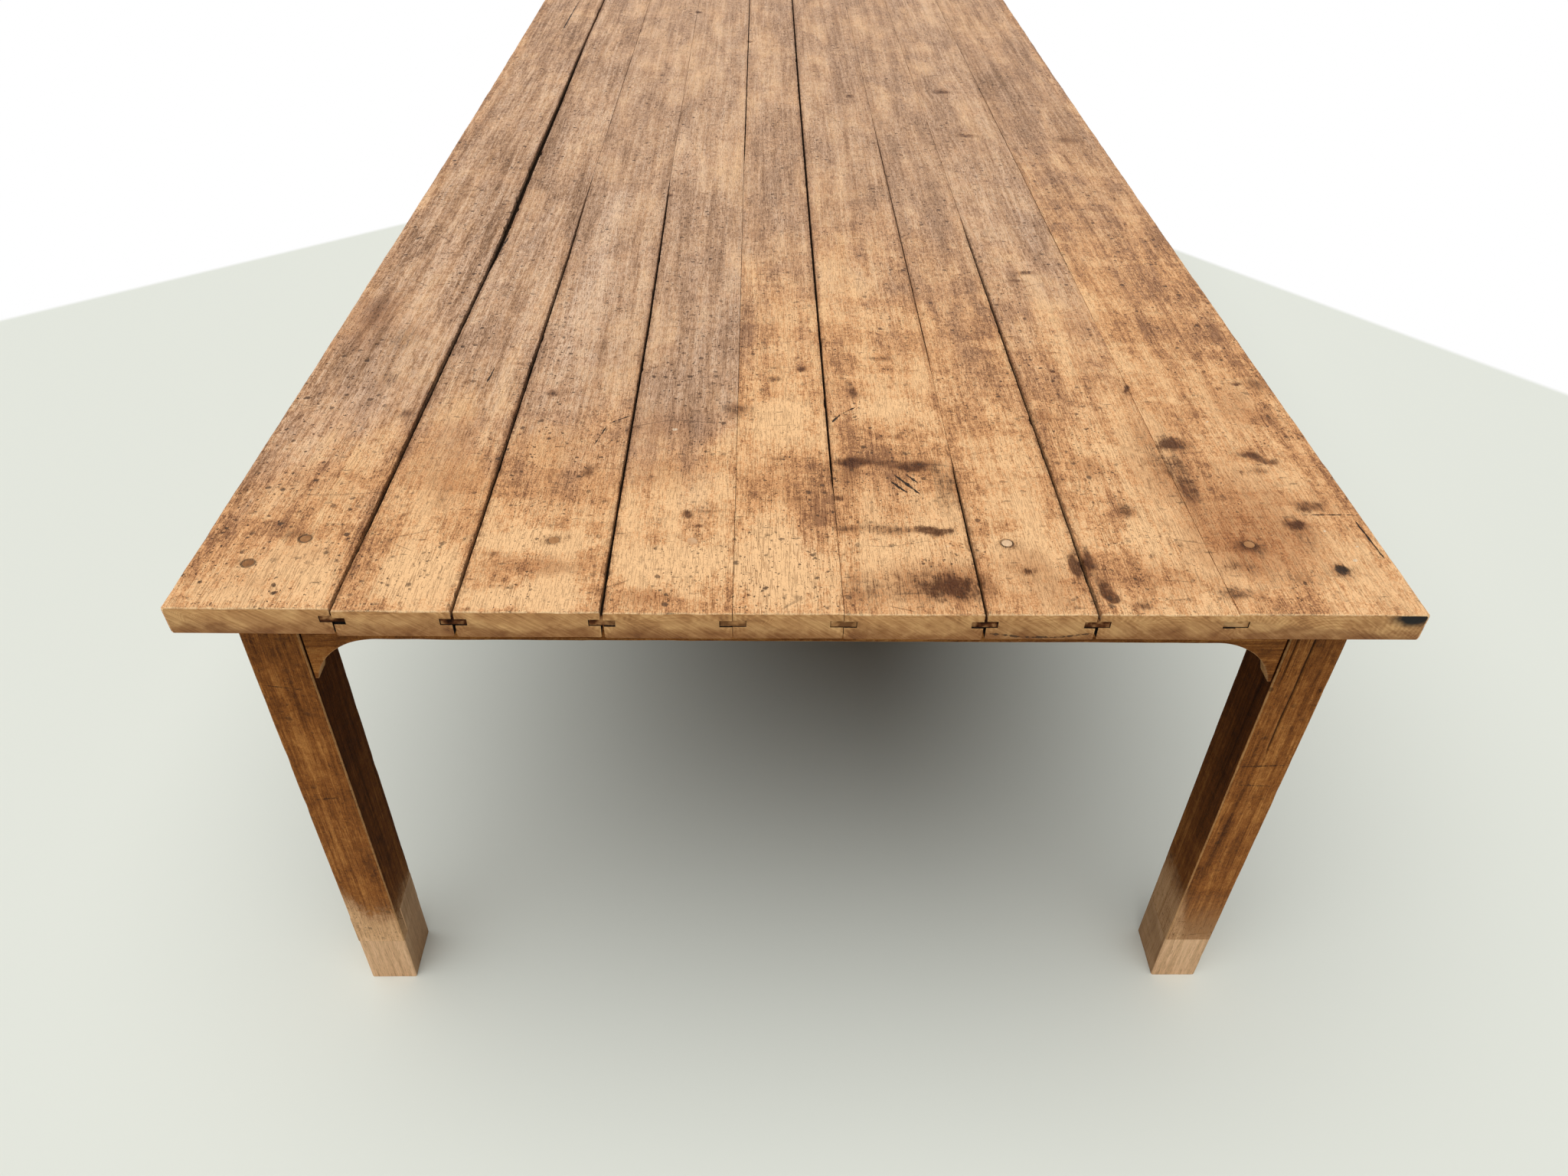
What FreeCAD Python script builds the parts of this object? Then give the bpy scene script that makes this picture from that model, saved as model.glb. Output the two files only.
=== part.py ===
"""Farmhouse table: a plank top on loose tongues over a frame of four spliced legs and arched aprons.

Millimetres, +Z up. The origin is on the floor under the middle of the top, with the length along Y
and the near end at -Y. Every piece of wood is its own solid and seats in real joints.
"""
import FreeCAD
import Part

import math
import os

# Overall size: the width is that of the near end, and the flare is what the far end is wider
TABLE_HEIGHT = 770.0
TOP_LENGTH = 3000.0
TOP_WIDTH = 1282.0
TOP_FLARE = 24.0
TOP_THICKNESS = 34.0

# Top boards: hollow long edges, ends sawn a little unevenly, worn arrises
EDGE_HOLLOW = 7.0
END_STAGGER = 5.0
BOARD_EASE = 2.5
CORNER_EASE = 5.0
JOINT_NEAR_SHARES = (0.131, 0.2255, 0.3415, 0.4445, 0.532, 0.644, 0.734, 0.8455)
JOINT_FAR_SHARES = (0.1280, 0.2275, 0.3320, 0.4390, 0.532, 0.646, 0.7325, 0.8460)
NEAR_STAGGER_SHARES = (0.9, 0.3, 0.2, 0.0, 0.1, 0.0, 0.2, 0.3, 0.6)
FAR_STAGGER_SHARES = (0.4, 0.8, 0.3, 0.1, 0.0, 0.2, 0.5, 0.1, 0.7)

# Gaps that the joints have shrunk to, and the loose tongues that bridge them
WIDE_GAP = 6.0
OPEN_GAP = 3.0
NARROW_GAP = 1.6
TIGHT_GAP = 0.6
JOINT_GAPS = (WIDE_GAP, OPEN_GAP, OPEN_GAP, TIGHT_GAP, OPEN_GAP, NARROW_GAP, OPEN_GAP, TIGHT_GAP)
TONGUE_WIDTH = 26.0
TONGUE_THICKNESS = 8.0
TONGUE_COVER = 10.5
TONGUE_SETBACK = 1.5
TONGUE_SIDE_CLEARANCE = 0.6
TONGUE_FACE_CLEARANCE = 0.2

# Frame: legs set in from the edges of the top, with spliced feet
SIDE_OVERHANG = 30.0
END_OVERHANG = 66.0
LEG_WIDTH = 65.0
LEG_DEPTH = 78.0
LEG_EASE = 3.0
FOOT_HEIGHT = 92.0
LAP_HEIGHT = 55.0
LAP_CHEEK = 17.0
LAPPED_LEG = "near_left"
FOOT_TENON_SIZE = 28.0
FOOT_TENON_LENGTH = 90.0
FOOT_TENON_CLEARANCE = 0.1
FOOT_TENON_END_CLEARANCE = 0.8

# Aprons: shallow rails that sweep down into a bracket at each leg
APRON_THICKNESS = 25.0
APRON_RECESS = 2.0
APRON_DEPTH = 66.0
BRACKET_DROP = 60.0
BRACKET_TOE = 3.0
ARCH_RADIUS = 77.0
APRON_EASE = 1.5
SHOULDER_GAP = 0.8
TENON_LENGTH = 40.0
TENON_THICKNESS = 10.0
TENON_TOE = 14.0
LEG_HORN = 30.0
MORTISE_CLEARANCE = 0.2
MORTISE_END_CLEARANCE = 1.5

# Bearers that carry the boards across the frame
BEARER_WIDTH = 56.0
BEARER_DEPTH = 45.0
BEARER_END_GAP = 0.8
BEARER_EASE = 2.0
HOUSING_DEPTH = 14.0
HOUSING_CLEARANCE = 0.2
MID_BEARER_COUNT = 3
MID_BEARER_SPREAD = 1400.0

# Pegs through the top, and the forged nails under it
PEG_DIAMETER = 12.0
PEG_CLEARANCE = 0.1
PEG_SINK = 0.4
PEG_END_CLEARANCE = 0.6
PEG_HORN_COVER = 7.0
PEG_BEARER_COVER = 16.0
LEG_PEG_INSET = 12.0
CORNER_PEG_INSET = 13.0
BEARER_PEG_SHARES = {3: 0.577, 4: 0.65, 7: 0.35, 9: 0.245}
NAIL_SHANK = 5.0
NAIL_TIP = 2.0
NAIL_HEAD = 11.0
NAIL_CROWN = 4.0
NAIL_HEAD_HEIGHT = 2.5
NAIL_CLEARANCE = 0.1
BOARD_NAIL_BITE = 17.0
CLEAT_NAIL_BITE = 13.0
CLEAT_NAIL_JOINTS = (1, 3, 5, 7, 8)

# How far a cutting tool runs past the surface that it opens
OVERRUN = 1.0

# Places worked out from the sizes above
UNDERSIDE = TABLE_HEIGHT - TOP_THICKNESS
TONGUE_TOP = TABLE_HEIGHT - TONGUE_COVER
TONGUE_FLOOR = TONGUE_TOP - TONGUE_THICKNESS
NEAR_END = -TOP_LENGTH / 2
FAR_END = TOP_LENGTH / 2
FRAME_HALF_WIDTH = TOP_WIDTH / 2 - SIDE_OVERHANG
FRAME_HALF_LENGTH = TOP_LENGTH / 2 - END_OVERHANG
LEG_INNER_X = FRAME_HALF_WIDTH - LEG_WIDTH
LEG_INNER_Y = FRAME_HALF_LENGTH - LEG_DEPTH
BOARD_COUNT = len(NEAR_STAGGER_SHARES)
BRACKET_FOOT = UNDERSIDE - APRON_DEPTH - BRACKET_DROP
APRON_SOFFIT = UNDERSIDE - APRON_DEPTH
BEARER_FLOOR = UNDERSIDE - BEARER_DEPTH
END_BEARER_OUTER = FRAME_HALF_LENGTH - APRON_RECESS - APRON_THICKNESS
END_BEARER_INNER = END_BEARER_OUTER - BEARER_WIDTH
END_BEARER_MIDDLE = (END_BEARER_OUTER + END_BEARER_INNER) / 2
CORNERS = {
    "near_left": (-1, -1),
    "near_right": (1, -1),
    "far_left": (-1, 1),
    "far_right": (1, 1),
}
ENDS = {"near": -1, "far": 1}
SIDES = {"left": -1, "right": 1}

parts = {}


def point(x, y, z):
    return FreeCAD.Vector(x, y, z)


def block(x_span, y_span, z_span):
    """A square block between three pairs of coordinates, given in either order."""
    low = [min(span) for span in (x_span, y_span, z_span)]
    size = [max(span) - min(span) for span in (x_span, y_span, z_span)]
    return Part.makeBox(size[0], size[1], size[2], point(*low))


def rod(diameter, start, direction, length):
    """A round rod from a start point along a direction."""
    return Part.makeCylinder(diameter / 2, length, start, direction)


def prism(corners, direction):
    """The flat polygon through the corners, swept along a direction."""
    return Part.Face(Part.makePolygon(corners + corners[:1])).extrude(direction)


def edges_between(solid, axis, low, high):
    """The edges of a solid whose two ends both lie between two heights on one axis."""
    margin = OVERRUN / 100
    found = []
    for edge in solid.Edges:
        places = [getattr(vertex.Point, axis) for vertex in edge.Vertexes]
        if min(places) > low - margin and max(places) < high + margin:
            found.append(edge)
    return found


def upright_edges(solid, low, high):
    """The straight vertical edges that run the whole way between two heights."""
    margin = OVERRUN / 100
    found = []
    for edge in solid.Edges:
        heights = sorted(vertex.Z for vertex in edge.Vertexes)
        if len(heights) == 2 and heights[0] < low + margin and heights[1] > high - margin:
            found.append(edge)
    return found


# Top boards

def length_share(y):
    """Where a place along the table lies between the near end, 0, and the far end, 1."""
    return (y - NEAR_END) / TOP_LENGTH


def joint_x(joint, y):
    """The middle of a joint between two boards. Joint 0 and the last one are the outer edges."""
    near_shares = (0.0,) + JOINT_NEAR_SHARES + (1.0,)
    far_shares = (0.0,) + JOINT_FAR_SHARES + (1.0,)
    near_x = TOP_WIDTH * (near_shares[joint] - 1 / 2)
    far_x = (TOP_WIDTH + TOP_FLARE) * (far_shares[joint] - 1 / 2)
    return near_x + (far_x - near_x) * length_share(y)


def edge_x(board, side, y):
    """A board's own edge: half a gap inside its joint, or the outer edge of the top."""
    joint = board - 1 if side < 0 else board
    if joint in (0, BOARD_COUNT):
        return joint_x(joint, y)
    return joint_x(joint, y) - side * JOINT_GAPS[joint - 1] / 2


def board_span(board, y):
    return edge_x(board, -1, y), edge_x(board, 1, y)


def across_board(board, share, y):
    """A place on a board, by its share of the board's width from the left edge."""
    left, right = board_span(board, y)
    return left + (right - left) * share


def board_end(board, end):
    """Where a board was sawn off, a little short of the end of the top."""
    shares = NEAR_STAGGER_SHARES if end < 0 else FAR_STAGGER_SHARES
    return end * (TOP_LENGTH / 2 - END_STAGGER * shares[board - 1])


def long_edge(board, side, z):
    """A board's long edge: straight at a joint, hollowed by use on the outside of the top."""
    near_y, far_y = board_end(board, -1), board_end(board, 1)
    start = point(edge_x(board, side, near_y), near_y, z)
    finish = point(edge_x(board, side, far_y), far_y, z)
    outer = board == (1 if side < 0 else BOARD_COUNT)
    if not outer:
        return Part.LineSegment(start, finish).toShape()
    middle_y = (near_y + far_y) / 2
    middle = point(edge_x(board, side, middle_y) - side * EDGE_HOLLOW, middle_y, z)
    return Part.Arc(start, middle, finish).toShape()


def end_edge(board, end, z):
    y = board_end(board, end)
    left, right = board_span(board, y)
    return Part.LineSegment(point(left, y, z), point(right, y, z)).toShape()


def plank(board):
    """The sawn board with its worn upper arrises, before it is grooved or drilled."""
    edges = [end_edge(board, -1, UNDERSIDE), long_edge(board, 1, UNDERSIDE)]
    edges += [end_edge(board, 1, UNDERSIDE), long_edge(board, -1, UNDERSIDE)]
    outline = Part.Wire(Part.__sortEdges__(edges))
    solid = Part.Face(outline).extrude(point(0, 0, TOP_THICKNESS))
    if board in (1, BOARD_COUNT):
        outer = 1 if board == BOARD_COUNT else -1
        uprights = upright_edges(solid, UNDERSIDE, TABLE_HEIGHT)
        corners = [edge for edge in uprights if edge.CenterOfMass.x * outer > FRAME_HALF_WIDTH]
        solid = solid.makeFillet(CORNER_EASE, corners)
    return solid.makeChamfer(BOARD_EASE, edges_between(solid, "z", TABLE_HEIGHT, TABLE_HEIGHT))


def joint_strip(joint, half_width, z_low, z_high, near_y, far_y):
    """A flat strip that follows a joint's centre line."""
    corners = [
        point(joint_x(joint, near_y) - half_width, near_y, z_low),
        point(joint_x(joint, near_y) + half_width, near_y, z_low),
        point(joint_x(joint, far_y) + half_width, far_y, z_low),
        point(joint_x(joint, far_y) - half_width, far_y, z_low),
    ]
    return prism(corners, point(0, 0, z_high - z_low))


def groove(joint):
    """The tongue's groove across a joint, run out past both ends of the boards."""
    return joint_strip(
        joint,
        TONGUE_WIDTH / 2 + TONGUE_SIDE_CLEARANCE,
        TONGUE_FLOOR - TONGUE_FACE_CLEARANCE,
        TONGUE_TOP + TONGUE_FACE_CLEARANCE,
        NEAR_END - OVERRUN,
        FAR_END + OVERRUN,
    )


def tongue(joint):
    """The loose tongue, a little short of the boards on its two sides at each end."""
    near_y = max(board_end(joint, -1), board_end(joint + 1, -1)) + TONGUE_SETBACK
    far_y = min(board_end(joint, 1), board_end(joint + 1, 1)) - TONGUE_SETBACK
    return joint_strip(joint, TONGUE_WIDTH / 2, TONGUE_FLOOR, TONGUE_TOP, near_y, far_y)


# Pegs and nails

def peg_places():
    """Each peg through the top: its board, its place in plan and how deep it goes below the boards."""
    places = []
    for end in ENDS.values():
        leg_y = end * (FRAME_HALF_LENGTH - LEG_PEG_INSET)
        for board, side in ((1, -1), (BOARD_COUNT, 1)):
            leg_x = side * (FRAME_HALF_WIDTH - LEG_WIDTH / 2)
            places.append((board, leg_x, leg_y, LEG_HORN - PEG_HORN_COVER))
        bearer_y = end * END_BEARER_MIDDLE
        bearer_depth = BEARER_DEPTH - PEG_BEARER_COVER
        places.append((1, CORNER_PEG_INSET - LEG_INNER_X, bearer_y, bearer_depth))
        for board, share in BEARER_PEG_SHARES.items():
            places.append((board, across_board(board, share, bearer_y), bearer_y, bearer_depth))
    return places


def peg(x, y, depth):
    top = TABLE_HEIGHT - PEG_SINK
    foot = UNDERSIDE - depth
    return rod(PEG_DIAMETER, point(x, y, foot), point(0, 0, 1), top - foot)


def peg_hole(x, y, depth):
    foot = UNDERSIDE - depth - PEG_END_CLEARANCE
    bore = PEG_DIAMETER + 2 * PEG_CLEARANCE
    return rod(bore, point(x, y, foot), point(0, 0, 1), TABLE_HEIGHT + OVERRUN - foot)


def tapered_bar(start_size, end_size, start, length):
    """A square bar along Y that tapers evenly from one end to the other."""
    low, end_low = -start_size / 2, -end_size / 2
    high, end_high = start_size / 2, end_size / 2
    finish = start + length
    return Part.makeWedge(low, start, low, end_low, end_low, high, finish, high, end_high, end_high)


def driven(solid, head, direction):
    """A nail made along Y, turned to its direction with its head against a point."""
    solid.Placement = FreeCAD.Placement(head, FreeCAD.Rotation(point(0, 1, 0), direction))
    return solid


def nail(head, direction, length):
    """A forged nail: a tapered square shank under a head beaten to four facets."""
    shank = tapered_bar(NAIL_SHANK, NAIL_TIP, 0.0, length)
    rose = tapered_bar(NAIL_CROWN, NAIL_HEAD, -NAIL_HEAD_HEIGHT, NAIL_HEAD_HEIGHT)
    return driven(shank.fuse(rose), head, direction)


def nail_hole(head, direction, length):
    wide = NAIL_SHANK + 2 * NAIL_CLEARANCE
    narrow = NAIL_TIP + 2 * NAIL_CLEARANCE
    return driven(tapered_bar(wide, narrow, 0.0, length + NAIL_CLEARANCE), head, direction)


def mid_bearer_y(index):
    step = MID_BEARER_SPREAD / (MID_BEARER_COUNT - 1)
    return -MID_BEARER_SPREAD / 2 + step * index


def bearer_nail_places():
    """Where a bearer is nailed up into a board that no peg holds there: bearer, board and place."""
    places = []
    for index in range(MID_BEARER_COUNT):
        for board in range(1, BOARD_COUNT + 1):
            places.append((f"mid_bearer_{index + 1}", board, mid_bearer_y(index)))
    for name, end in ENDS.items():
        for board in range(2, BOARD_COUNT):
            if board not in BEARER_PEG_SHARES:
                places.append((f"end_bearer_{name}", board, end * END_BEARER_MIDDLE))
    return places


def make_bearer_nails():
    nails, board_holes, bearer_holes = [], {}, {}
    length = BEARER_DEPTH + BOARD_NAIL_BITE
    up = point(0, 0, 1)
    for bearer, board, y in bearer_nail_places():
        head = point(across_board(board, 1 / 2, y), y, BEARER_FLOOR)
        nails.append(nail(head, up, length))
        hole = nail_hole(head, up, length)
        board_holes.setdefault(board, []).append(hole)
        bearer_holes.setdefault(bearer, []).append(hole)
    return nails, board_holes, bearer_holes


def make_cleat_nails():
    """The nails that hold each end bearer to the back of its apron, under joints clear of the pegs."""
    nails, holes = [], {}
    length = BEARER_WIDTH + CLEAT_NAIL_BITE
    for name, end in ENDS.items():
        outward = point(0, end, 0)
        for joint in CLEAT_NAIL_JOINTS:
            y = end * END_BEARER_INNER
            head = point(joint_x(joint, y), y, UNDERSIDE - BEARER_DEPTH / 2)
            nails.append(nail(head, outward, length))
            holes.setdefault(name, []).append(nail_hole(head, outward, length))
    return nails, holes


# Legs and feet

def leg_spans(corner):
    """The leg's outer and inner faces along X and along Y."""
    side, end = CORNERS[corner]
    x_span = (side * FRAME_HALF_WIDTH, side * LEG_INNER_X)
    y_span = (end * FRAME_HALF_LENGTH, end * LEG_INNER_Y)
    return x_span, y_span


def foot_joint_height(corner):
    """The top of a foot: higher where the new wood laps up behind the old."""
    return FOOT_HEIGHT + (LAP_HEIGHT if corner == LAPPED_LEG else 0.0)


def foot_zone(corner):
    """The space that the new foot takes out of the leg's column."""
    x_span, y_span = leg_spans(corner)
    end = CORNERS[corner][1]
    wide_x = (x_span[0] * 2, 0.0)
    wide_y = (y_span[0] * 2, 0.0)
    zone = block(wide_x, wide_y, (-OVERRUN, FOOT_HEIGHT))
    if corner == LAPPED_LEG:
        lap_y = (y_span[0] - end * LAP_CHEEK, 0.0)
        zone = zone.fuse(block(wide_x, lap_y, (0.0, foot_joint_height(corner))))
    return zone


def tenon_heights():
    return BRACKET_FOOT + TENON_TOE, UNDERSIDE - LEG_HORN


def apron_middle(half_size):
    """The middle of an apron's thickness, behind the leg's outer face."""
    return half_size - APRON_RECESS - APRON_THICKNESS / 2


def mortise(corner, along):
    """The mortise for the tenon of the apron that runs along one axis."""
    side, end = CORNERS[corner]
    low, high = tenon_heights()
    heights = (low - MORTISE_CLEARANCE, high + MORTISE_CLEARANCE)
    reach = TENON_LENGTH + MORTISE_END_CLEARANCE
    half_wall = TENON_THICKNESS / 2 + MORTISE_CLEARANCE
    if along == "x":
        depth = (side * (LEG_INNER_X - OVERRUN), side * (LEG_INNER_X + reach))
        middle = end * apron_middle(FRAME_HALF_LENGTH)
        return block(depth, (middle - half_wall, middle + half_wall), heights)
    depth = (end * (LEG_INNER_Y - OVERRUN), end * (LEG_INNER_Y + reach))
    middle = side * apron_middle(FRAME_HALF_WIDTH)
    return block((middle - half_wall, middle + half_wall), depth, heights)


def foot_tenon(corner, clearance, end_clearance):
    """The loose tenon up the middle of a splice, or the mortise for it where there is clearance."""
    x_span, y_span = leg_spans(corner)
    half = FOOT_TENON_SIZE / 2 + clearance
    reach = FOOT_TENON_LENGTH / 2 + end_clearance
    middle_x, middle_y, joint = sum(x_span) / 2, sum(y_span) / 2, foot_joint_height(corner)
    return block(
        (middle_x - half, middle_x + half),
        (middle_y - half, middle_y + half),
        (joint - reach, joint + reach),
    )


def leg_and_foot(corner, peg_holes):
    """One square column, parted at the splice into the old leg and its new foot."""
    x_span, y_span = leg_spans(corner)
    column = block(x_span, y_span, (0.0, UNDERSIDE))
    column = column.makeFillet(LEG_EASE, upright_edges(column, 0.0, UNDERSIDE))
    zone = foot_zone(corner)
    foot_mortise = foot_tenon(corner, FOOT_TENON_CLEARANCE, FOOT_TENON_END_CLEARANCE)
    leg = column.cut([zone, mortise(corner, "x"), mortise(corner, "y"), foot_mortise] + peg_holes)
    foot = column.common(zone).cut(foot_mortise)
    return leg, foot


# Aprons

def arch_profile(half_length, place):
    """An apron's face: straight top, shallow rail, and an arc down into a bracket at each end.

    place turns a distance along the apron and a height into a point.
    """
    run = math.sqrt(ARCH_RADIUS ** 2 - (ARCH_RADIUS - BRACKET_DROP) ** 2)
    toe = half_length - BRACKET_TOE
    spring = toe - run
    centre_height = APRON_SOFFIT - ARCH_RADIUS
    halfway = math.atan2(BRACKET_FOOT - centre_height, run) / 2 + math.pi / 4
    middle = (spring + ARCH_RADIUS * math.cos(halfway), centre_height + ARCH_RADIUS * math.sin(halfway))

    def line(start, finish):
        return Part.LineSegment(place(*start), place(*finish)).toShape()

    def arc(sign):
        start = place(sign * toe, BRACKET_FOOT)
        finish = place(sign * spring, APRON_SOFFIT)
        return Part.Arc(start, place(sign * middle[0], middle[1]), finish).toShape()

    edges = [
        line((-half_length, UNDERSIDE), (half_length, UNDERSIDE)),
        line((half_length, UNDERSIDE), (half_length, BRACKET_FOOT)),
        line((half_length, BRACKET_FOOT), (toe, BRACKET_FOOT)),
        arc(1),
        line((spring, APRON_SOFFIT), (-spring, APRON_SOFFIT)),
        arc(-1),
        line((-toe, BRACKET_FOOT), (-half_length, BRACKET_FOOT)),
        line((-half_length, BRACKET_FOOT), (-half_length, UNDERSIDE)),
    ]
    return Part.Face(Part.Wire(edges))


def soffit_edges(solid):
    """The two long lines of edges round the arch, which are eased by hand."""
    found = []
    for edge in edges_between(solid, "z", BRACKET_FOOT, APRON_SOFFIT):
        box = edge.BoundBox
        reaches_soffit = box.ZMax > APRON_SOFFIT - OVERRUN / 100
        if reaches_soffit and max(box.XLength, box.YLength) > APRON_THICKNESS:
            found.append(edge)
    return found


def end_apron(end):
    """The apron across one end, with a tenon into each leg."""
    half_length = LEG_INNER_X - SHOULDER_GAP
    outer = end * (FRAME_HALF_LENGTH - APRON_RECESS)
    face = arch_profile(half_length, lambda along, z: point(along, outer, z))
    solid = face.extrude(point(0, -end * APRON_THICKNESS, 0))
    solid = solid.makeChamfer(APRON_EASE, soffit_edges(solid))
    middle = end * apron_middle(FRAME_HALF_LENGTH)
    tenon_y = (middle - TENON_THICKNESS / 2, middle + TENON_THICKNESS / 2)
    reach = LEG_INNER_X + TENON_LENGTH
    tenon = block((-reach, reach), tenon_y, tenon_heights())
    clear = block((-half_length, half_length), tenon_y, tenon_heights())
    return solid.fuse(tenon.cut(clear)).removeSplitter()


def side_apron(side):
    """The apron along one side, with a tenon into each leg and housings for the bearers."""
    half_length = LEG_INNER_Y - SHOULDER_GAP
    outer = side * (FRAME_HALF_WIDTH - APRON_RECESS)
    inner = side * (FRAME_HALF_WIDTH - APRON_RECESS - APRON_THICKNESS)
    face = arch_profile(half_length, lambda along, z: point(outer, along, z))
    solid = face.extrude(point(-side * APRON_THICKNESS, 0, 0))
    solid = solid.makeChamfer(APRON_EASE, soffit_edges(solid))
    middle = side * apron_middle(FRAME_HALF_WIDTH)
    tenon_x = (middle - TENON_THICKNESS / 2, middle + TENON_THICKNESS / 2)
    reach = LEG_INNER_Y + TENON_LENGTH
    tenon = block(tenon_x, (-reach, reach), tenon_heights())
    clear = block(tenon_x, (-half_length, half_length), tenon_heights())
    solid = solid.fuse(tenon.cut(clear)).removeSplitter()
    housings = []
    for index in range(MID_BEARER_COUNT):
        half = BEARER_WIDTH / 2 + HOUSING_CLEARANCE
        y_span = (mid_bearer_y(index) - half, mid_bearer_y(index) + half)
        x_span = (inner - side * OVERRUN, inner + side * HOUSING_DEPTH)
        housings.append(block(x_span, y_span, (BEARER_FLOOR, UNDERSIDE + OVERRUN)))
    return solid.cut(housings)


# Bearers

def bearer(x_span, y_span, tools):
    """A plain batten with eased lower arrises, drilled for what passes through it."""
    solid = block(x_span, y_span, (BEARER_FLOOR, UNDERSIDE))
    lower = edges_between(solid, "z", BEARER_FLOOR, BEARER_FLOOR)
    long_edges = [edge for edge in lower if edge.BoundBox.XLength > BEARER_WIDTH]
    return solid.makeChamfer(BEARER_EASE, long_edges).cut(tools)


def make_top(board_peg_holes, board_nail_holes):
    for board in range(1, BOARD_COUNT + 1):
        tools = [groove(joint) for joint in (board - 1, board) if 0 < joint < BOARD_COUNT]
        tools += board_peg_holes.get(board, []) + board_nail_holes.get(board, [])
        parts[f"board_{board}"] = plank(board).cut(tools)
    for joint in range(1, BOARD_COUNT):
        parts[f"tongue_{joint}"] = tongue(joint)


def make_frame(leg_peg_holes, cleat_holes):
    tenons = []
    for corner in CORNERS:
        leg, foot = leg_and_foot(corner, leg_peg_holes)
        parts[f"leg_{corner}"] = leg
        parts[f"foot_{corner}"] = foot
        tenons.append(foot_tenon(corner, 0.0, 0.0))
    parts["foot_tenons"] = Part.makeCompound(tenons)
    for name, end in ENDS.items():
        parts[f"end_apron_{name}"] = end_apron(end).cut(cleat_holes[name])
    for name, side in SIDES.items():
        parts[f"side_apron_{name}"] = side_apron(side)


def make_bearers(bearer_peg_holes, nail_holes, cleat_holes):
    half_end = LEG_INNER_X - BEARER_END_GAP
    for name, end in ENDS.items():
        y_span = (end * END_BEARER_OUTER, end * END_BEARER_INNER)
        tools = bearer_peg_holes + nail_holes[f"end_bearer_{name}"] + cleat_holes[name]
        parts[f"end_bearer_{name}"] = bearer((-half_end, half_end), y_span, tools)
    seat = FRAME_HALF_WIDTH - APRON_RECESS - APRON_THICKNESS + HOUSING_DEPTH
    half_mid = seat - BEARER_END_GAP
    for index in range(MID_BEARER_COUNT):
        y = mid_bearer_y(index)
        y_span = (y - BEARER_WIDTH / 2, y + BEARER_WIDTH / 2)
        name = f"mid_bearer_{index + 1}"
        parts[name] = bearer((-half_mid, half_mid), y_span, nail_holes[name])


def build():
    pegs, holes, board_holes = [], [], {}
    for board, x, y, depth in peg_places():
        hole = peg_hole(x, y, depth)
        pegs.append(peg(x, y, depth))
        holes.append(hole)
        board_holes.setdefault(board, []).append(hole)
    nails, board_nail_holes, bearer_nail_holes = make_bearer_nails()
    cleat_nails, cleat_holes = make_cleat_nails()
    make_top(board_holes, board_nail_holes)
    make_frame(holes, cleat_holes)
    make_bearers(holes, bearer_nail_holes, cleat_holes)
    parts["top_pegs"] = Part.makeCompound(pegs)
    parts["bearer_nails"] = Part.makeCompound(nails)
    parts["cleat_nails"] = Part.makeCompound(cleat_nails)


build()
os.makedirs("parts", exist_ok=True)
for name, shape in parts.items():
    shape.exportStep(f"parts/{name}.step")
print(f"{len(parts)} nodes, {sum(len(shape.Solids) for shape in parts.values())} solids")
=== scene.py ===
"""Looks of the farmhouse table: worn oak boards, legs, feet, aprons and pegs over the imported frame."""

import math

import bpy
import numpy as np
from mathutils import Matrix, Vector


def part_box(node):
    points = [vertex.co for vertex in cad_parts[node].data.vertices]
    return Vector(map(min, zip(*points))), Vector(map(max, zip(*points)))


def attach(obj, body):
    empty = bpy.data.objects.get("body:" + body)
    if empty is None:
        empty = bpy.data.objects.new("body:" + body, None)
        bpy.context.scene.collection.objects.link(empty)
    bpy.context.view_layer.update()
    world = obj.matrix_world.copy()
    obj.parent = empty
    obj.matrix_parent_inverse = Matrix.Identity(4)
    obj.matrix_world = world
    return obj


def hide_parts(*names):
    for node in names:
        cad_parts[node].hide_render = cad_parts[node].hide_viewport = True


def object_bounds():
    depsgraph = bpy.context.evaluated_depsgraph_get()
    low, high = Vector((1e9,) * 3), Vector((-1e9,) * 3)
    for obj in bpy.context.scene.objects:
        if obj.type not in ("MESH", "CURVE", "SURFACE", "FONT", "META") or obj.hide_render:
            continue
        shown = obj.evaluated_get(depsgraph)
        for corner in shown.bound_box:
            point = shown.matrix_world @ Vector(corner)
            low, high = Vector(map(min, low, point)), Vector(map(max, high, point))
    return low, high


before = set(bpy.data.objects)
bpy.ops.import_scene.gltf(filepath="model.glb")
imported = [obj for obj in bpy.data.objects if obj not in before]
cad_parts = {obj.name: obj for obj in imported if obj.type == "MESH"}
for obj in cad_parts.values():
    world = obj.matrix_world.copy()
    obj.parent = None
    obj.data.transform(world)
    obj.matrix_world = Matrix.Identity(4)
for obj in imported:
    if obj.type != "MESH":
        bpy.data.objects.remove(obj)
cad_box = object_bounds()

MM = 0.001
BOARD_COUNT = 9

# Sizes of the frame, in metres
TOP = cad_box[1].z
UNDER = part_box("board_5")[0].z
NEAR = -1.5
LENGTH = 3.0
NEAR_HALF_WIDTH = 0.641
HALF_FLARE = 0.012
EDGE_HOLLOW = 0.007
GROOVE_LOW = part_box("tongue_5")[0].z - 0.0002
GROOVE_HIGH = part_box("tongue_5")[1].z + 0.0002
TONGUE_HALF_WIDTH = 0.0136

# Where the tongues run, at the near and far end, in millimetres across
TONGUE_NEAR = (-473.1, -351.9, -203.2, -71.2, 41.0, 184.6, 300.0, 442.9)
TONGUE_FAR = (-485.8, -355.9, -219.4, -79.7, 41.8, 190.7, 303.6, 451.9)

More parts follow.
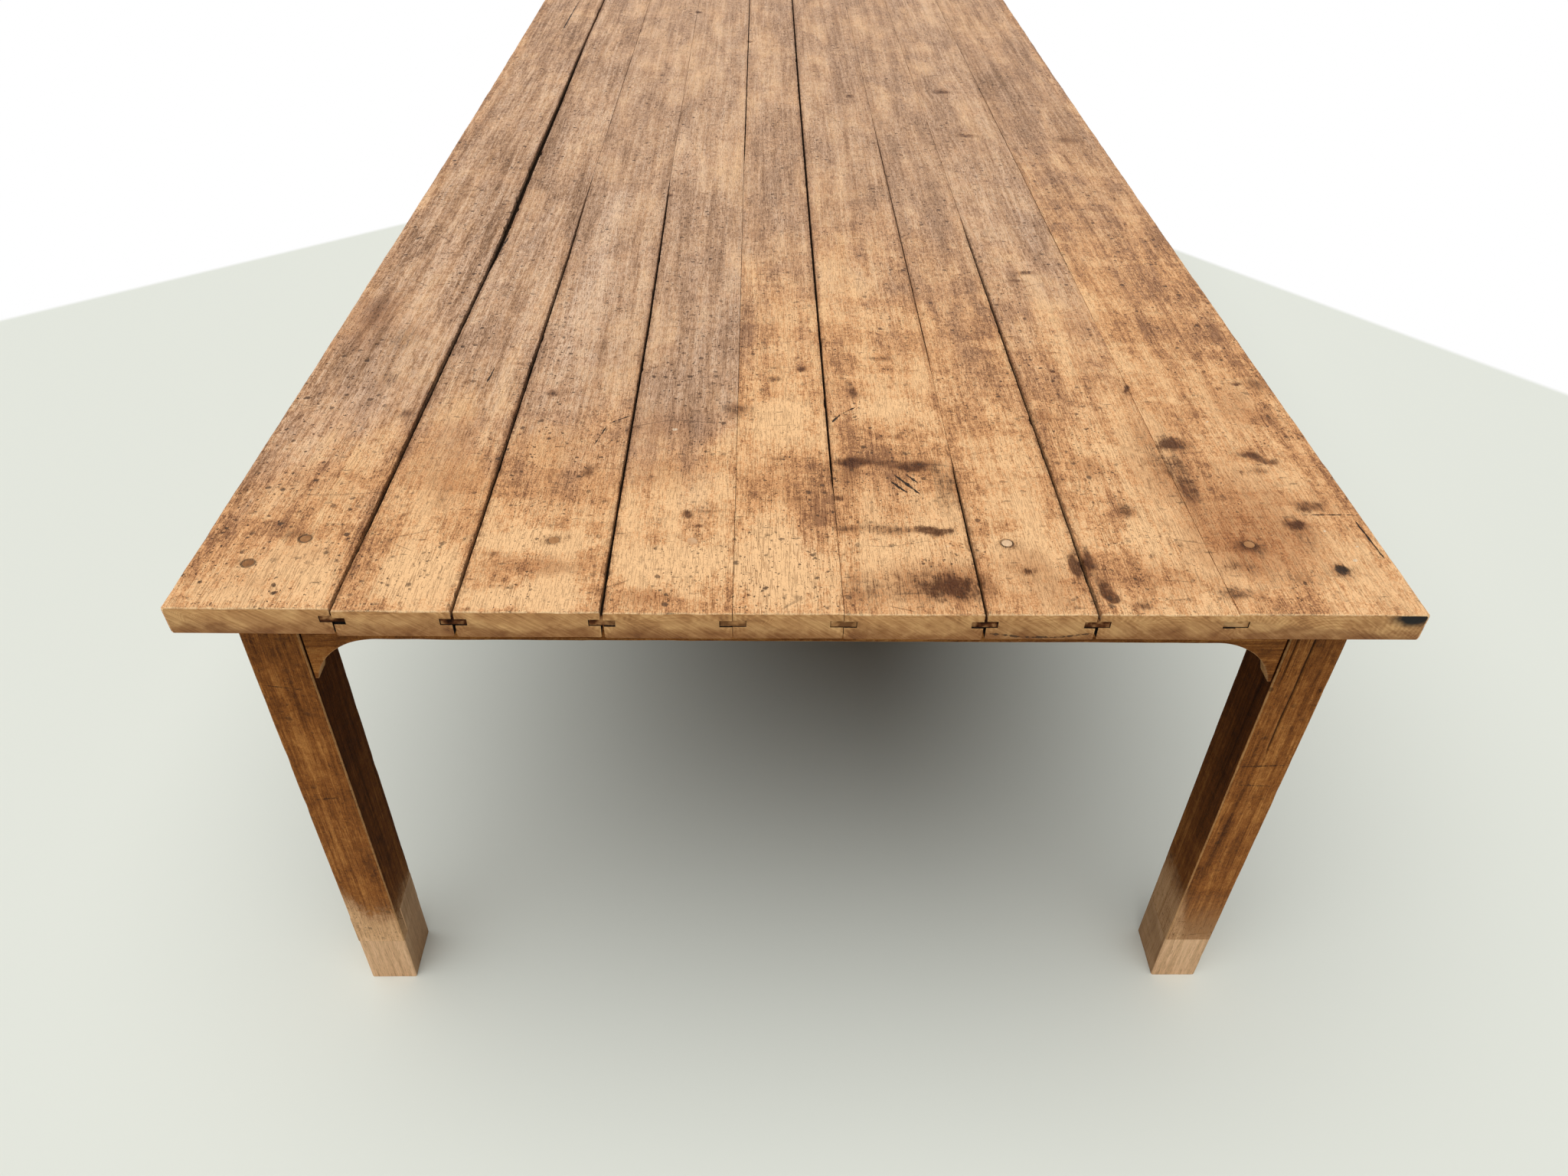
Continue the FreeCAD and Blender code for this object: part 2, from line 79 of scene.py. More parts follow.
# Joint lines between the boards, in millimetres: from the near end, place across, width of the gap
JOINT_LINES = (
    ((0, -473, 3), (60, -473, 3), (150, -472, 5), (600, -469, 5), (800, -467, 5), (860, -466, 8),
     (1000, -467, 9), (1260, -471, 9), (1660, -475, 8), (1900, -479, 7), (2160, -482, 4), (3000, -486, 4)),
    ((0, -352, 3), (300, -351.5, 4), (860, -351, 3.6), (1060, -352.5, 2.2), (1250, -354, 1),
     (1800, -355, 1.4), (3000, -356, 1)),
    ((0, -203, 3), (90, -204, 3.4), (130, -204, 3), (660, -205, 3.2), (1000, -208.5, 2.8), (1137, -210.5, 2),
     (1250, -212, 0.8), (2390, -219, 0.8), (3000, -220, 1.5)),
    ((0, -71.5, 0.7), (400, -73, 0.8), (1260, -77, 1), (1400, -77, 2), (2160, -78, 2), (3000, -80, 2)),
    ((0, 41, 0.9), (200, 40.5, 0.9), (260, 40, 2.4), (900, 39, 3.2), (1800, 39, 3.6), (3000, 42, 3)),
    ((0, 185, 3), (230, 185.5, 3), (300, 186, 1), (480, 186.5, 0.9), (560, 187, 1.8), (1400, 188, 1.8),
     (1700, 188.5, 0.9), (3000, 190.5, 0.9)),
    ((0, 300, 3.4), (600, 300, 3.8), (950, 300.5, 3.2), (1060, 301, 1.2), (3000, 304, 0.9)),
    ((0, 443, 0.7), (800, 445, 0.8), (900, 445.5, 1.5), (1900, 448, 1.5), (2200, 449, 0.9), (3000, 452, 0.9)),
)

# Stains on the top, in millimetres: place across, from the near end, half width, half length, strength
BLACK_STAINS = (
    (-486, 381, 11, 14, 0.66), (-532, 466, 16, 22, 0.45), (-537, 581, 22, 44, 0.45),
    (-601, 671, 20, 55, 0.37), (-545, 130, 35, 11, 0.45), (-583, 80, 16, 11, 0.37),
    (-312, 436, 10, 11, 0.86), (-242, 253, 9, 13, 0.79), (-329, 100, 9, 7, 0.54), (-321, 42, 8, 4, 0.54),
    (-304, 43, 9, 4, 0.54), (-270, 121, 22, 10, 0.54), (-124, 169, 7, 6, 1), (-112, 148, 6, 6, 1),
    (-98, 174, 20, 3, 0.45), (-74, 398, 21, 18, 0.72), (-200, 351, 12, 11, 0.63), (10, 505, 8, 9, 1),
    (-29, 477, 10, 7, 0.72), (-3, 202, 10, 10, 0.54), (-24, 287, 11, 7, 0.54), (77, 442, 7, 19, 0.86),
    (127, 335, 8, 10, 0.72), (89, 345, 4, 8, 0.45), (112, 277, 64, 13, 0.5), (141, 266, 25, 13, 0.86),
    (168, 225, 15, 66, 0.55), (47, 204, 10, 8, 0.79), (50, 144, 15, 9, 0.58), (107, 143, 60, 12, 0.62),
    (152, 141, 26, 8, 0.95), (114, 42, 77, 33, 0.42), (150, 50, 37, 28, 0.5), (60, 40, 22, 33, 0.28),
    (119, 535, 20, 10, 0.72), (239, 68, 8, 7, 1), (228, 116, 15, 11, 0.72), (291, 80, 7, 29, 0.72),
    (371, 184, 14, 16, 0.79), (347, 17, 18, 10, 0.68), (443, 457, 5, 16, 1), (350, 507, 5, 5, 1.1),
    (465, 324, 19, 21, 1), (456, 250, 15, 45, 0.58), (450, 205, 15, 35, 0.53), (557, 299, 15, 10, 1),
    (571, 286, 15, 9, 0.86), (548, 264, 28, 8, 0.53), (587, 192, 19, 12, 0.86), (556, 160, 17, 13, 1.1),
    (558, 131, 22, 22, 0.35), (493, 117, 20, 16, 0.79), (470, 80, 22, 15, 0.53), (577, 74, 18, 15, 0.86),
    (453, 39, 25, 14, 0.72), (624, 472, 25, 25, 0.53), (568, 466, 6, 6, 0.86), (590, 477, 9, 6, 0.86),
    (373, 823, 22, 10, 0.79), (353, 793, 18, 8, 0.72), (358, 1787, 24, 18, 0.86), (373, 1489, 24, 15, 0.86),
    (569, 1468, 33, 26, 0.63), (150, 1747, 9, 11, 0.79), (-206, 1138, 8, 10, 0.86),
    (-74, 2189, 10, 13, 0.86), (-215, 2481, 10, 15, 0.86), (170, 40, 34, 30, 0.35), (60, 250, 16, 40, 0.43),
    (62, 276, 30, 10, 0.58), (440, 300, 30, 70, 0.36), (520, 60, 40, 16, 0.36), (306, 90, 9, 26, 1.1),
    (315, 44, 9, 20, 1.1), (319, 28, 8, 10, 1.4), (292, 84, 5, 24, 0.6),
)
BROWN_STAINS = (
    (-572, 46, 70, 30, 0.3), (-560, 420, 60, 150, 0.3), (-600, 640, 40, 120, 0.55), (-145, 358, 60, 64, 0.5),
    (110, 210, 68, 72, 0.25), (114, 45, 76, 40, 0.3), (430, 250, 46, 90, 0.3), (520, 190, 70, 100, 0.5),
    (353, 267, 18, 30, 0.6), (315, 387, 18, 20, 0.7), (370, 60, 50, 40, 0.35), (235, 90, 30, 34, 0.45),
    (-20, 240, 40, 40, 0.3), (-300, 300, 60, 60, 0.35), (-420, 300, 50, 120, 0.35),
    (575, 420, 50, 70, 0.4), (150, 62, 70, 48, 0.4),
    (262, 40, 40, 50, 0.5), (440, 330, 50, 140, 0.2), (500, 120, 90, 60, 0.4), (-540, 250, 70, 120, 0.1),
    (-276, 74, 63, 17, 0.6), (-157, 23, 42, 15, 0.6), (-384, 207, 43, 54, 0.3), (-548, 217, 53, 43, 0.2),
    (-523, 92, 59, 26, 0.4), (-270, 209, 62, 55, 0.3), (-150, 250, 50, 40, 0.4), (480, 110, 80, 70, 0.3),
)
PALE_MARKS = (
    (610, 118, 3, 3, 0.9), (601, 94, 3, 2.5, 0.9), (584, 147, 4, 3, 0.8), (525, 375, 4, 3, 0.8),
    (-147, 350, 5, 3, 0.8), (248, 457, 16, 3, 0.5), (162, 115, 16, 2.5, 0.5),
)
LIGHT_PATCHES = (
    (-297, 750, 30, 330, 0.5), (-399, 70, 40, 60, 0.5), (-140, 70, 60, 60, 0.3), (-20, 370, 44, 50, 0.7),
    (110, 400, 52, 44, 0.7), (-300, 1087, 40, 90, 0.4), (390, 130, 34, 60, 0.5), (-20, 90, 56, 70, 0.5),
    (-403, 59, 45, 49, 1.1), (-276, 23, 66, 21, 1.1), (-279, 119, 71, 20, 1.1), (-130, 88, 54, 29, 0.9),
    (-588, 26, 39, 19, 0.6), (-120, 200, 40, 30, 0.3), (-30, 121, 39, 95, 0.6), (217, 92, 64, 40, 0.4),
    (-560, 60, 76, 60, 0.8), (-560, 330, 60, 150, 0.5),
    (-20, 60, 50, 60, 0.7), (110, 100, 60, 60, 0.9), (100, 200, 56, 56, 0.6), (400, 300, 60, 120, 0.6),
)

# Knots: place across, from the near end, half width, half length, in millimetres
KNOTS = (
    (119, 535, 14, 16), (-29, 477, 9, 10), (358, 1787, 18, 24), (373, 1489, 16, 22), (-206, 1138, 8, 14),
    (-74, 2189, 9, 14), (-28, 1400, 8, 12), (230, 1930, 10, 14), (-420, 1560, 10, 14), (-600, 1900, 12, 16),
)

# How far the honey colour reaches along each board, in millimetres
HONEY_REACH = (270, 310, 310, 280, 640, 700, 640, 560, 900)

# How much lighter or darker each board is
BOARD_TONES = (0.0, 0.08, 0.12, 0.15, 0.08, 0.03, 0.02, 0.1, -0.08)

# How rough and blotched each board is
BOARD_ROUGHNESS = (1.0, 0.7, 0.4, 0.3, 0.25, 0.25, 0.2, 0.25, 0.3)

# Pegs in the top, near row then far row, the first two of a row over the legs, in metres: across, along
PEG_PLACES = (
    (-0.5785, -1.422), (0.5785, -1.422), (-0.533, -1.379), (-0.2668, -1.379), (-0.1175, -1.379),
    (0.2252, -1.379), (0.4921, -1.379),
    (-0.5785, 1.422), (0.5785, 1.422), (-0.533, 1.379), (-0.2769, 1.379), (-0.1278, 1.379),
    (0.2300, 1.379), (0.5010, 1.379),
)
PEGS_IN_ROW = 7
PEGS_IN_LEGS = 2
PEG_RADIUS = 0.006
PEG_IN_LEG = 0.023
PEG_TURNS = 28

# How pale each peg is, from near black, painted shade at the bottom of the sunk peg's hole, to new wood, and
# how dark the ring round it
PEG_TINTS = (0.28, 0.0, 0.34, 0.42, 0.72, 0.95, 0.40, 0.34, 0.40, 0.36, 0.55, 0.42, 0.60, 0.36)
PEG_RINGS = (0.9, 0.95, 0.85, 0.25, 0.15, 0.85, 0.45, 0.7, 0.8, 0.6, 0.4, 0.6, 0.5, 0.7)
SUNK_PEG = 1
HOLE_DEPTH = 0.004

# Cracks in the top, in metres: start, end, width
CRACKS = (
    ((-0.468, -0.671), (-0.4575, -0.555), 0.0026), ((-0.553, 0.76), (-0.551, 1.093), 0.0022),
    ((-0.404, -1.051), (-0.400, -1.000), 0.0012), ((0.046, -1.131), (0.058, -1.112), 0.0022),
    ((0.058, -1.112), (0.078, -1.094), 0.0016), ((-0.209, -1.121), (-0.233, -1.139), 0.0013),
    ((-0.233, -1.139), (-0.246, -1.190), 0.0012), ((0.628, -1.328), (0.632, -1.405), 0.0016),
    ((0.114, -1.249), (0.140, -1.288), 0.0030), ((0.108, -1.262), (0.126, -1.286), 0.0016),
    ((0.126, -1.246), (0.140, -1.264), 0.0016), ((0.573, -1.323), (0.637, -1.322), 0.0009),
)

# Marks on the front of the near legs, in metres: start and end as place across and height, width
LEG_MARKS = (
    ((-0.607, 0.602), (-0.560, 0.594), 0.0012), ((-0.598, 0.717), (-0.590, 0.708), 0.0014),
    ((-0.590, 0.708), (-0.580, 0.716), 0.0014), ((0.549, 0.466), (0.607, 0.470), 0.0015),
    ((0.552, 0.433), (0.600, 0.430), 0.0011), ((-0.600, 0.402), (-0.566, 0.405), 0.0010),
)

# Cracks in the near end of the seventh board, in metres: start and end as place across and height, width
END_CRACKS = (
    ((0.188, 0.7440), (0.226, 0.7390), 0.0016), ((0.226, 0.7390), (0.262, 0.7388), 0.0018),
    ((0.262, 0.7388), (0.297, 0.7446), 0.0014),
)


# Numbers worked out as whole arrays

LATTICE = 128
DENT_CELLS = 64
FADING = 0.55


def smooth(low, high, value):
    """Smooth step: 0 up to low, 1 from high, and three t squared less two t cubed between."""
    t = np.clip((value - low) / (high - low), 0.0, 1.0)
    return t * t * (3.0 - 2.0 * t)


def ripple(x, y, seed):
    """Value noise from -1 to 1: seeded heights on a whole-number lattice, blended by smooth steps."""
    table = np.random.RandomState(seed).uniform(-1.0, 1.0, (LATTICE, LATTICE))
    x, y = np.broadcast_arrays(x, y)
    column = np.floor(x).astype(int)
    row = np.floor(y).astype(int)
    u = smooth(0.0, 1.0, x - column)
    v = smooth(0.0, 1.0, y - row)
    here, after = column % LATTICE, (column + 1) % LATTICE
    level, above = row % LATTICE, (row + 1) % LATTICE
    low = table[here, level] * (1 - u) + table[after, level] * u
    high = table[here, above] * (1 - u) + table[after, above] * u
    return low * (1 - v) + high * v


def layers(x, y, seed, count=4):
    """Value noise in layers, each twice as fine and about half as strong, scaled back to about -1 to 1."""
    total = sum(ripple(x * 2.0 ** k, y * 2.0 ** k, seed + 17 * k) * FADING ** k for k in range(count))
    return total / sum(FADING ** k for k in range(count))


def dents(x, y, cell, seed):
    """Scattered round dents, 0 to 1: one seeded centre and size per cell, the deepest of nine cells kept."""
    source = np.random.RandomState(seed)
    place = source.uniform(0.0, 1.0, (DENT_CELLS, DENT_CELLS, 2))
    size = source.uniform(0.0, 1.0, (DENT_CELLS, DENT_CELLS)) ** 2
    column = np.floor(x / cell).astype(int)
    row = np.floor(y / cell).astype(int)
    deepest = np.zeros(np.broadcast(x, y).shape)
    for across in (-1, 0, 1):
        for along in (-1, 0, 1):
            i = (column + across) % DENT_CELLS
            j = (row + along) % DENT_CELLS
            away_x = x / cell - (column + across) - place[i, j, 0]
            away_y = y / cell - (row + along) - place[i, j, 1]
            reach = 0.12 + 0.3 * size[i, j]
            bowl = 1 - smooth(0.0, 1.0, np.hypot(away_x, away_y) / reach)
            deepest = np.maximum(deepest, size[i, j] * bowl)
    return deepest


def rounding(distance, radius):
    """Drop of a quarter-round arris: the radius less the height of its circle at that distance in."""
    inward = np.clip(radius - distance, 0.0, radius)
    return radius - np.sqrt(radius ** 2 - inward ** 2)


def stain(x, y, marks):
    """Sum of soft ellipses: each mark's strength, full at its middle and faded out past its rim."""
    total = np.zeros(x.shape)
    wave_x = x + 8 * MM * layers(x / 0.022, y / 0.03, 301, 4)
    wave_y = y + 8 * MM * layers(x / 0.022, y / 0.022, 302, 4)
    for across, along, half_width, half_length, strength in marks:
        reach = np.hypot((wave_x - across * MM) / (half_width * MM),
                         (wave_y - NEAR - along * MM) / (half_length * MM))
        total += strength * (1 - smooth(0.15, 1.45, reach))
    return total


def knot_flow(x, y):
    """How far grain bends across: near a knot its place is scaled by q over q plus 0.6.

    q is the squared distance from the knot, counted in the knot's half width and half length."""
    moved = np.zeros(x.shape)
    for across, along, half_width, half_length in KNOTS:
        away = x - across * MM
        q = (away / (half_width * MM)) ** 2 + ((y - NEAR - along * MM) / (half_length * MM)) ** 2
        moved -= away * 0.6 / (q + 0.6)
    return moved


def seam(number, y):
    """Place and gap width of a joint at each y: straight runs between its listed points."""
    along, place, width = np.array(JOINT_LINES[number]).T * MM
    return np.interp(y - NEAR, along, place), np.interp(y - NEAR, along, width)


def half_gap(width):
    """Half of a joint's opening before wear: half the width less what wear adds, and at least 0.3 mm."""
    return np.maximum(width / 2 - 0.25 * MM, 0.3 * MM)


def fray(y, width, seed):
    """How far a board's edge is worn back: fine waves, and chips that are deeper at wide joints."""
    waves = 0.7 * MM * (1 + layers(y / 0.022, 0.5, seed, 4))
    chips = smooth(0.35, 0.7, layers(y / 0.04, 3.5, seed + 5, 3))
    return smooth(0.7 * MM, 2.4 * MM, width) * (0.55 * waves + 0.35 * width * chips)


def outer_edge(y):
    """Half width of the top: a straight flare from near to far, hollowed by a parabola in the middle."""
    t = (y - NEAR) / LENGTH
    return NEAR_HALF_WIDTH + HALF_FLARE * t - EDGE_HOLLOW * 4 * t * (1 - t)


def tongue_line(number, y):
    """Middle of a tongue: a straight line from its near place to its far place."""
    t = (y - NEAR) / LENGTH
    return (TONGUE_NEAR[number] * (1 - t) + TONGUE_FAR[number] * t) * MM


def worn_height(x, y, number):
    """Height of a worn face: the full height less slow scoops, dents, and bowls round pegs and knots."""
    seed = 40 * number
    scoop = 0.45 * MM * (1 + layers(x / 0.07, y / 0.19, seed + 1))
    fine = 0.22 * MM * (1 + layers(x / 0.016, y / 0.03, seed + 2, 2))
    worn = scoop + fine + 0.7 * MM * dents(x, y, 0.045, seed + 3) + 0.4 * MM * dents(x, y, 0.021, seed + 4)
    for across, along in PEG_PLACES:
        away = np.hypot(x - across, y - along)
        worn = worn + 0.7 * MM * (1 - smooth(0.004, 0.016, away))
    for across, along, half_width, half_length in KNOTS:
        away = np.hypot((x - across * MM) / half_width, (y - NEAR - along * MM) / half_length) / MM
        worn = worn + 0.9 * MM * (1 - smooth(0.2, 1.0, away))
    return TOP - worn


# Meshes

SHARP_ANGLE = math.radians(42)


def add_piece(mesh, cad_name):
    """Puts a mesh in the scene, smooth up to the sharp angle, in place of a node of the frame."""
    mesh.polygons.foreach_set("use_smooth", np.ones(len(mesh.polygons), bool))
    mesh.set_sharp_from_angle(angle=SHARP_ANGLE)
    mesh.update()
    piece = bpy.data.objects.new(mesh.name, mesh)
    bpy.context.scene.collection.objects.link(piece)
    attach(piece, "root")
    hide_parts(cad_name)


def sweep(name, rings, values, materials):
    """A closed skin: rings of points joined by quads into a tube, with one many-sided face at each end.

    values holds arrays of numbers or vectors, one for each point; the ends take the last material. The
    faces are turned so that the enclosed volume is positive, which points them outwards."""
    count, around = rings.shape[:2]
    points = rings.reshape(-1, 3)
    index = np.arange(count * around).reshape(count, around)
    following = np.roll(index, -1, axis=1)
    quads = np.stack([index[:-1], following[:-1], following[1:], index[1:]], axis=-1).reshape(-1, 4)
    ends = [index[0][::-1], index[-1]]
    a, b, c, d = (points[quads[:, k]] - points[0] for k in range(4))
    if np.einsum("ij,ij->", a, np.cross(b, c)) + np.einsum("ij,ij->", a, np.cross(c, d)) < 0:
        quads = quads[:, ::-1]
        ends = [ring[::-1] for ring in ends]
    mesh = bpy.data.meshes.new(name)
    mesh.from_pydata(points, [], quads.tolist() + [ring.tolist() for ring in ends])
    for label, numbers in values.items():
        if numbers.ndim == 3:
            made = mesh.attributes.new(label, "FLOAT_VECTOR", "POINT")
            made.data.foreach_set("vector", numbers.astype(np.float32).ravel())
        else:
            made = mesh.attributes.new(label, "FLOAT", "POINT")
            made.data.foreach_set("value", numbers.astype(np.float32).ravel())
    slots = np.zeros(len(quads) + 2, np.int32)
    slots[-2:] = len(materials) - 1
    for material in materials:
        mesh.materials.append(material)
    mesh.polygons.foreach_set("material_index", slots)
    return mesh


def stations(near, far):
    """Places along a board: close steps over both rounded ends, 2.5 mm in the near part and 5 mm beyond."""
    end = np.array([0.0, 0.4, 1.0, 1.9, 3.2, 5.0, 7.5]) * MM
    close = np.arange(near + 0.010, NEAR + 0.62, 0.0025)
    wide = np.arange(close[-1] + 0.005, far - 0.010, 0.005)
    return np.concatenate([near + end, close, wide, far - end[::-1]])


def columns(left, right):
    """Places across a board at each station: fixed steps in from both edges, even steps of 4 mm between."""
    steps = np.array([0.0, 0.5, 1.2, 2.2, 3.6, 5.6, 8.5]) * MM
    count = int(round((np.mean(right - left) - 2 * steps[-1]) / 0.004))
    even = np.linspace(0.0, 1.0, count + 1)[1:-1]
    first = left[:, None] + steps
    last = right[:, None] - steps[::-1]
    return np.concatenate([first, first[:, -1:] + (last[:, :1] - first[:, -1:]) * even, last], axis=1)


# Section of a board: points down a side and along the underside, and the plain profile of an outer edge
WALL_POINTS = 6
UNDER_POINTS = 5
RIM_HEIGHTS = np.array([0.7625, 0.755, 0.747, 0.741, 0.7375, UNDER])
RIM_INSETS = np.array([0.0, 0.3, 0.2, 0.3, 0.7, 1.6]) * MM

# How dark the underside is painted, as painted shade under the top, and how far grime reaches in from a joint
UNDERSIDE_SHADE = 0.72
GRIME_REACH = (0.5 * MM, 7 * MM)


def wall(edge, inward, tongue):
    """Side of a board from top to bottom: plain for an outer edge, grooved round the tongue for a joint.

    Gives places across and heights, one column for each point of the profile."""
    if tongue is None:
        return edge[:, None] + inward * RIM_INSETS, np.broadcast_to(RIM_HEIGHTS, (len(edge), WALL_POINTS))
    depth = np.maximum(inward * (tongue + inward * TONGUE_HALF_WIDTH - edge), 3 * MM)
    heights = np.array([GROOVE_HIGH, GROOVE_HIGH, GROOVE_LOW, GROOVE_LOW, UNDER + 1.2 * MM, UNDER])
    shape = np.array([0.0, 1.0, 1.0, 0.0, 0.0, 0.0])
    insets = depth[:, None] * shape + np.array([0.0, 0.0, 0.0, 0.0, 0.0, 1.2]) * MM
    return edge[:, None] + inward * insets, np.broadcast_to(heights, (len(edge), WALL_POINTS))


def board_edge(joint, inward, y, seed):
    """One long edge of a board: its place at each y, the middle of its tongue, and how much grime it holds.

    A rim, without a joint, is outer_edge less a slow waver; at a joint the edge stands off the joint's
    line by half the gap and by what has frayed."""
    if joint is None:
        waver = 0.7 * MM * (1 + layers(y / 0.11, 1.5, seed))
        return inward * (waver - outer_edge(y)), None, np.ones(len(y))
    place, width = seam(joint, y)
    edge = place + inward * (half_gap(width) + fray(y, width, seed))
    return edge, tongue_line(joint, y), smooth(0.3 * MM, 4 * MM, width)


def board(number, materials):
    """One plank: its section is carried along the length between its two joint lines.

    The face follows worn_height, less the quarter rounds of the long edges and of both ends; the sides
    are grooved for the tongues; the ends waver a little as sawn."""
    low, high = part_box("board_%d" % number)
    y = stations(low.y, high.y)
    seed = 40 * number
    left_joint = number - 2 if number > 1 else None
    right_joint = number - 1 if number < BOARD_COUNT else None
    left, left_tongue, left_grime = board_edge(left_joint, 1, y, seed + 11)
    right, right_tongue, right_grime = board_edge(right_joint, -1, y, seed + 12)
    from_end = np.minimum(y - low.y, high.y - y)
    corner = rounding(from_end, 2.5 * MM)
    left = left + corner * (number == 1)
    right = right - corner * (number == BOARD_COUNT)
    x = columns(left, right)
    along = np.broadcast_to(y[:, None], x.shape)
    face = worn_height(x, along, number)
    outer_wear = 2.6 * MM * (1 + 0.6 * layers(y / 0.05, 7.5, seed + 14))
    joint_wear = 1.0 * MM * (1 + 0.7 * layers(y / 0.04, 8.5, seed + 15))
    left_wear = joint_wear * (0.25 + 0.75 * left_grime)
    right_wear = joint_wear * (0.25 + 0.75 * right_grime)
    left_radius = np.where(number == 1, outer_wear, left_wear)[:, None]
    right_radius = np.where(number == BOARD_COUNT, outer_wear, right_wear)[:, None]
    end_radius = 1.3 * MM * (1 + 0.7 * layers(x / 0.03, 2.5, seed + 16))
    face = face - rounding(x - left[:, None], left_radius) - rounding(right[:, None] - x, right_radius)
    face = face - rounding(np.broadcast_to(from_end[:, None], x.shape), end_radius)
    right_x, right_z = wall(right, -1, right_tongue)
    left_x, left_z = wall(left, 1, left_tongue)
    shares = np.linspace(0.0, 1.0, UNDER_POINTS + 2)[1:-1]
    floor_x = right_x[:, -1:] + (left_x[:, -1:] - right_x[:, -1:]) * shares
    floor_z = np.full(floor_x.shape, UNDER)
    ring_x = np.concatenate([x, right_x, floor_x, left_x[:, ::-1]], axis=1)
    ring_z = np.concatenate([face, right_z, floor_z, left_z[:, ::-1]], axis=1)
    ring_y = np.broadcast_to(y[:, None], ring_x.shape)
    saw = 0.5 * MM * (1 + layers(ring_x / 0.06, ring_z / 0.02, seed + 17, 2))
    ring_y = ring_y + saw * (1 - smooth(0.0, 0.03, ring_y - low.y))
    middle = (left + right)[:, None] / 2
    unrolled = np.concatenate([x - middle, right_x - middle + (TOP - right_z), middle - floor_x + 0.4,
                               left_x[:, ::-1] - middle - (TOP - left_z[:, ::-1])], axis=1)
    face_points = x.shape[1]
    bent = np.zeros(ring_x.shape)
    bent[:, :face_points] = knot_flow(x, along)
    sway = 7 * MM * layers(ring_y / 0.55, unrolled / 0.16, seed + 18, 2)
    own_depth = np.full(ring_x.shape, 0.7 * number)
    grain = np.stack([unrolled + bent + sway, ring_y + 3.1 * number, own_depth], axis=-1)
    on_face = np.zeros(ring_x.shape)
    on_face[:, :face_points] = 1.0
    reach = HONEY_REACH[number - 1] * MM
    wander = 0.16 * layers(ring_x / 0.06, ring_y / 0.12, seed + 19)
    honey = 1 - 0.75 * smooth(0.3 * reach, 1.9 * reach, ring_y - NEAR + wander)
    rim = np.minimum(ring_x + outer_edge(ring_y), outer_edge(ring_y) - ring_x)
    honey = np.maximum(honey, 0.45 * (1 - smooth(0.01, 0.05, rim)))
    # Mask along both ends of each board for paler worn wood and a painted highlight
    arris = on_face * (1 - smooth(0.6 * MM, 2.6 * MM, np.minimum(ring_y - low.y, high.y - ring_y)))
    # Painted shade: the sides in the joints are painted near black and the underside darker; the outer sides
    # of the two rim boards stay plain
    hidden_shade = 1 - on_face
    wall_end = face_points + WALL_POINTS
    under = slice(wall_end - 1, wall_end + UNDER_POINTS + 1)
    hidden_shade[:, under] = UNDERSIDE_SHADE
    sawn_under = np.zeros(ring_x.shape)
    sawn_under[:, under] = 1.0
    if number == 1:
        hidden_shade[:, -WALL_POINTS:] = 0.0
    if number == BOARD_COUNT:
        hidden_shade[:, face_points:wall_end] = 0.0
    left_dirt = (number > 1) * left_grime[:, None] * (1 - smooth(*GRIME_REACH, ring_x - left[:, None]))
    from_right = 1 - smooth(*GRIME_REACH, right[:, None] - ring_x)
    right_dirt = (number < BOARD_COUNT) * right_grime[:, None] * from_right
    values = {
        "grain": grain,
        "honey": honey * (1 - sawn_under),
        "black": stain(ring_x, ring_y, BLACK_STAINS) * on_face,
        "brown": stain(ring_x, ring_y, BROWN_STAINS) * on_face + 1.2 * sawn_under,
        "pale": stain(ring_x, ring_y, PALE_MARKS) * on_face,
        "light": stain(ring_x, ring_y, LIGHT_PATCHES) * on_face + BOARD_TONES[number - 1],
        "rough": np.full(ring_x.shape, BOARD_ROUGHNESS[number - 1]),
        "hidden_shade": hidden_shade,
        "arris": arris,
        "seam": on_face * np.maximum(left_dirt, right_dirt),
    }
    rings = np.stack([ring_x, ring_y, ring_z], axis=-1)
    mesh = sweep("top_board_%d" % number, rings, values, materials)
    add_piece(mesh, "board_%d" % number)


# Places of the extra columns across a drying crack, in half widths
GROOVE_OFFSETS = np.array([-2.4, -1.0, 0.0, 1.0, 2.4])


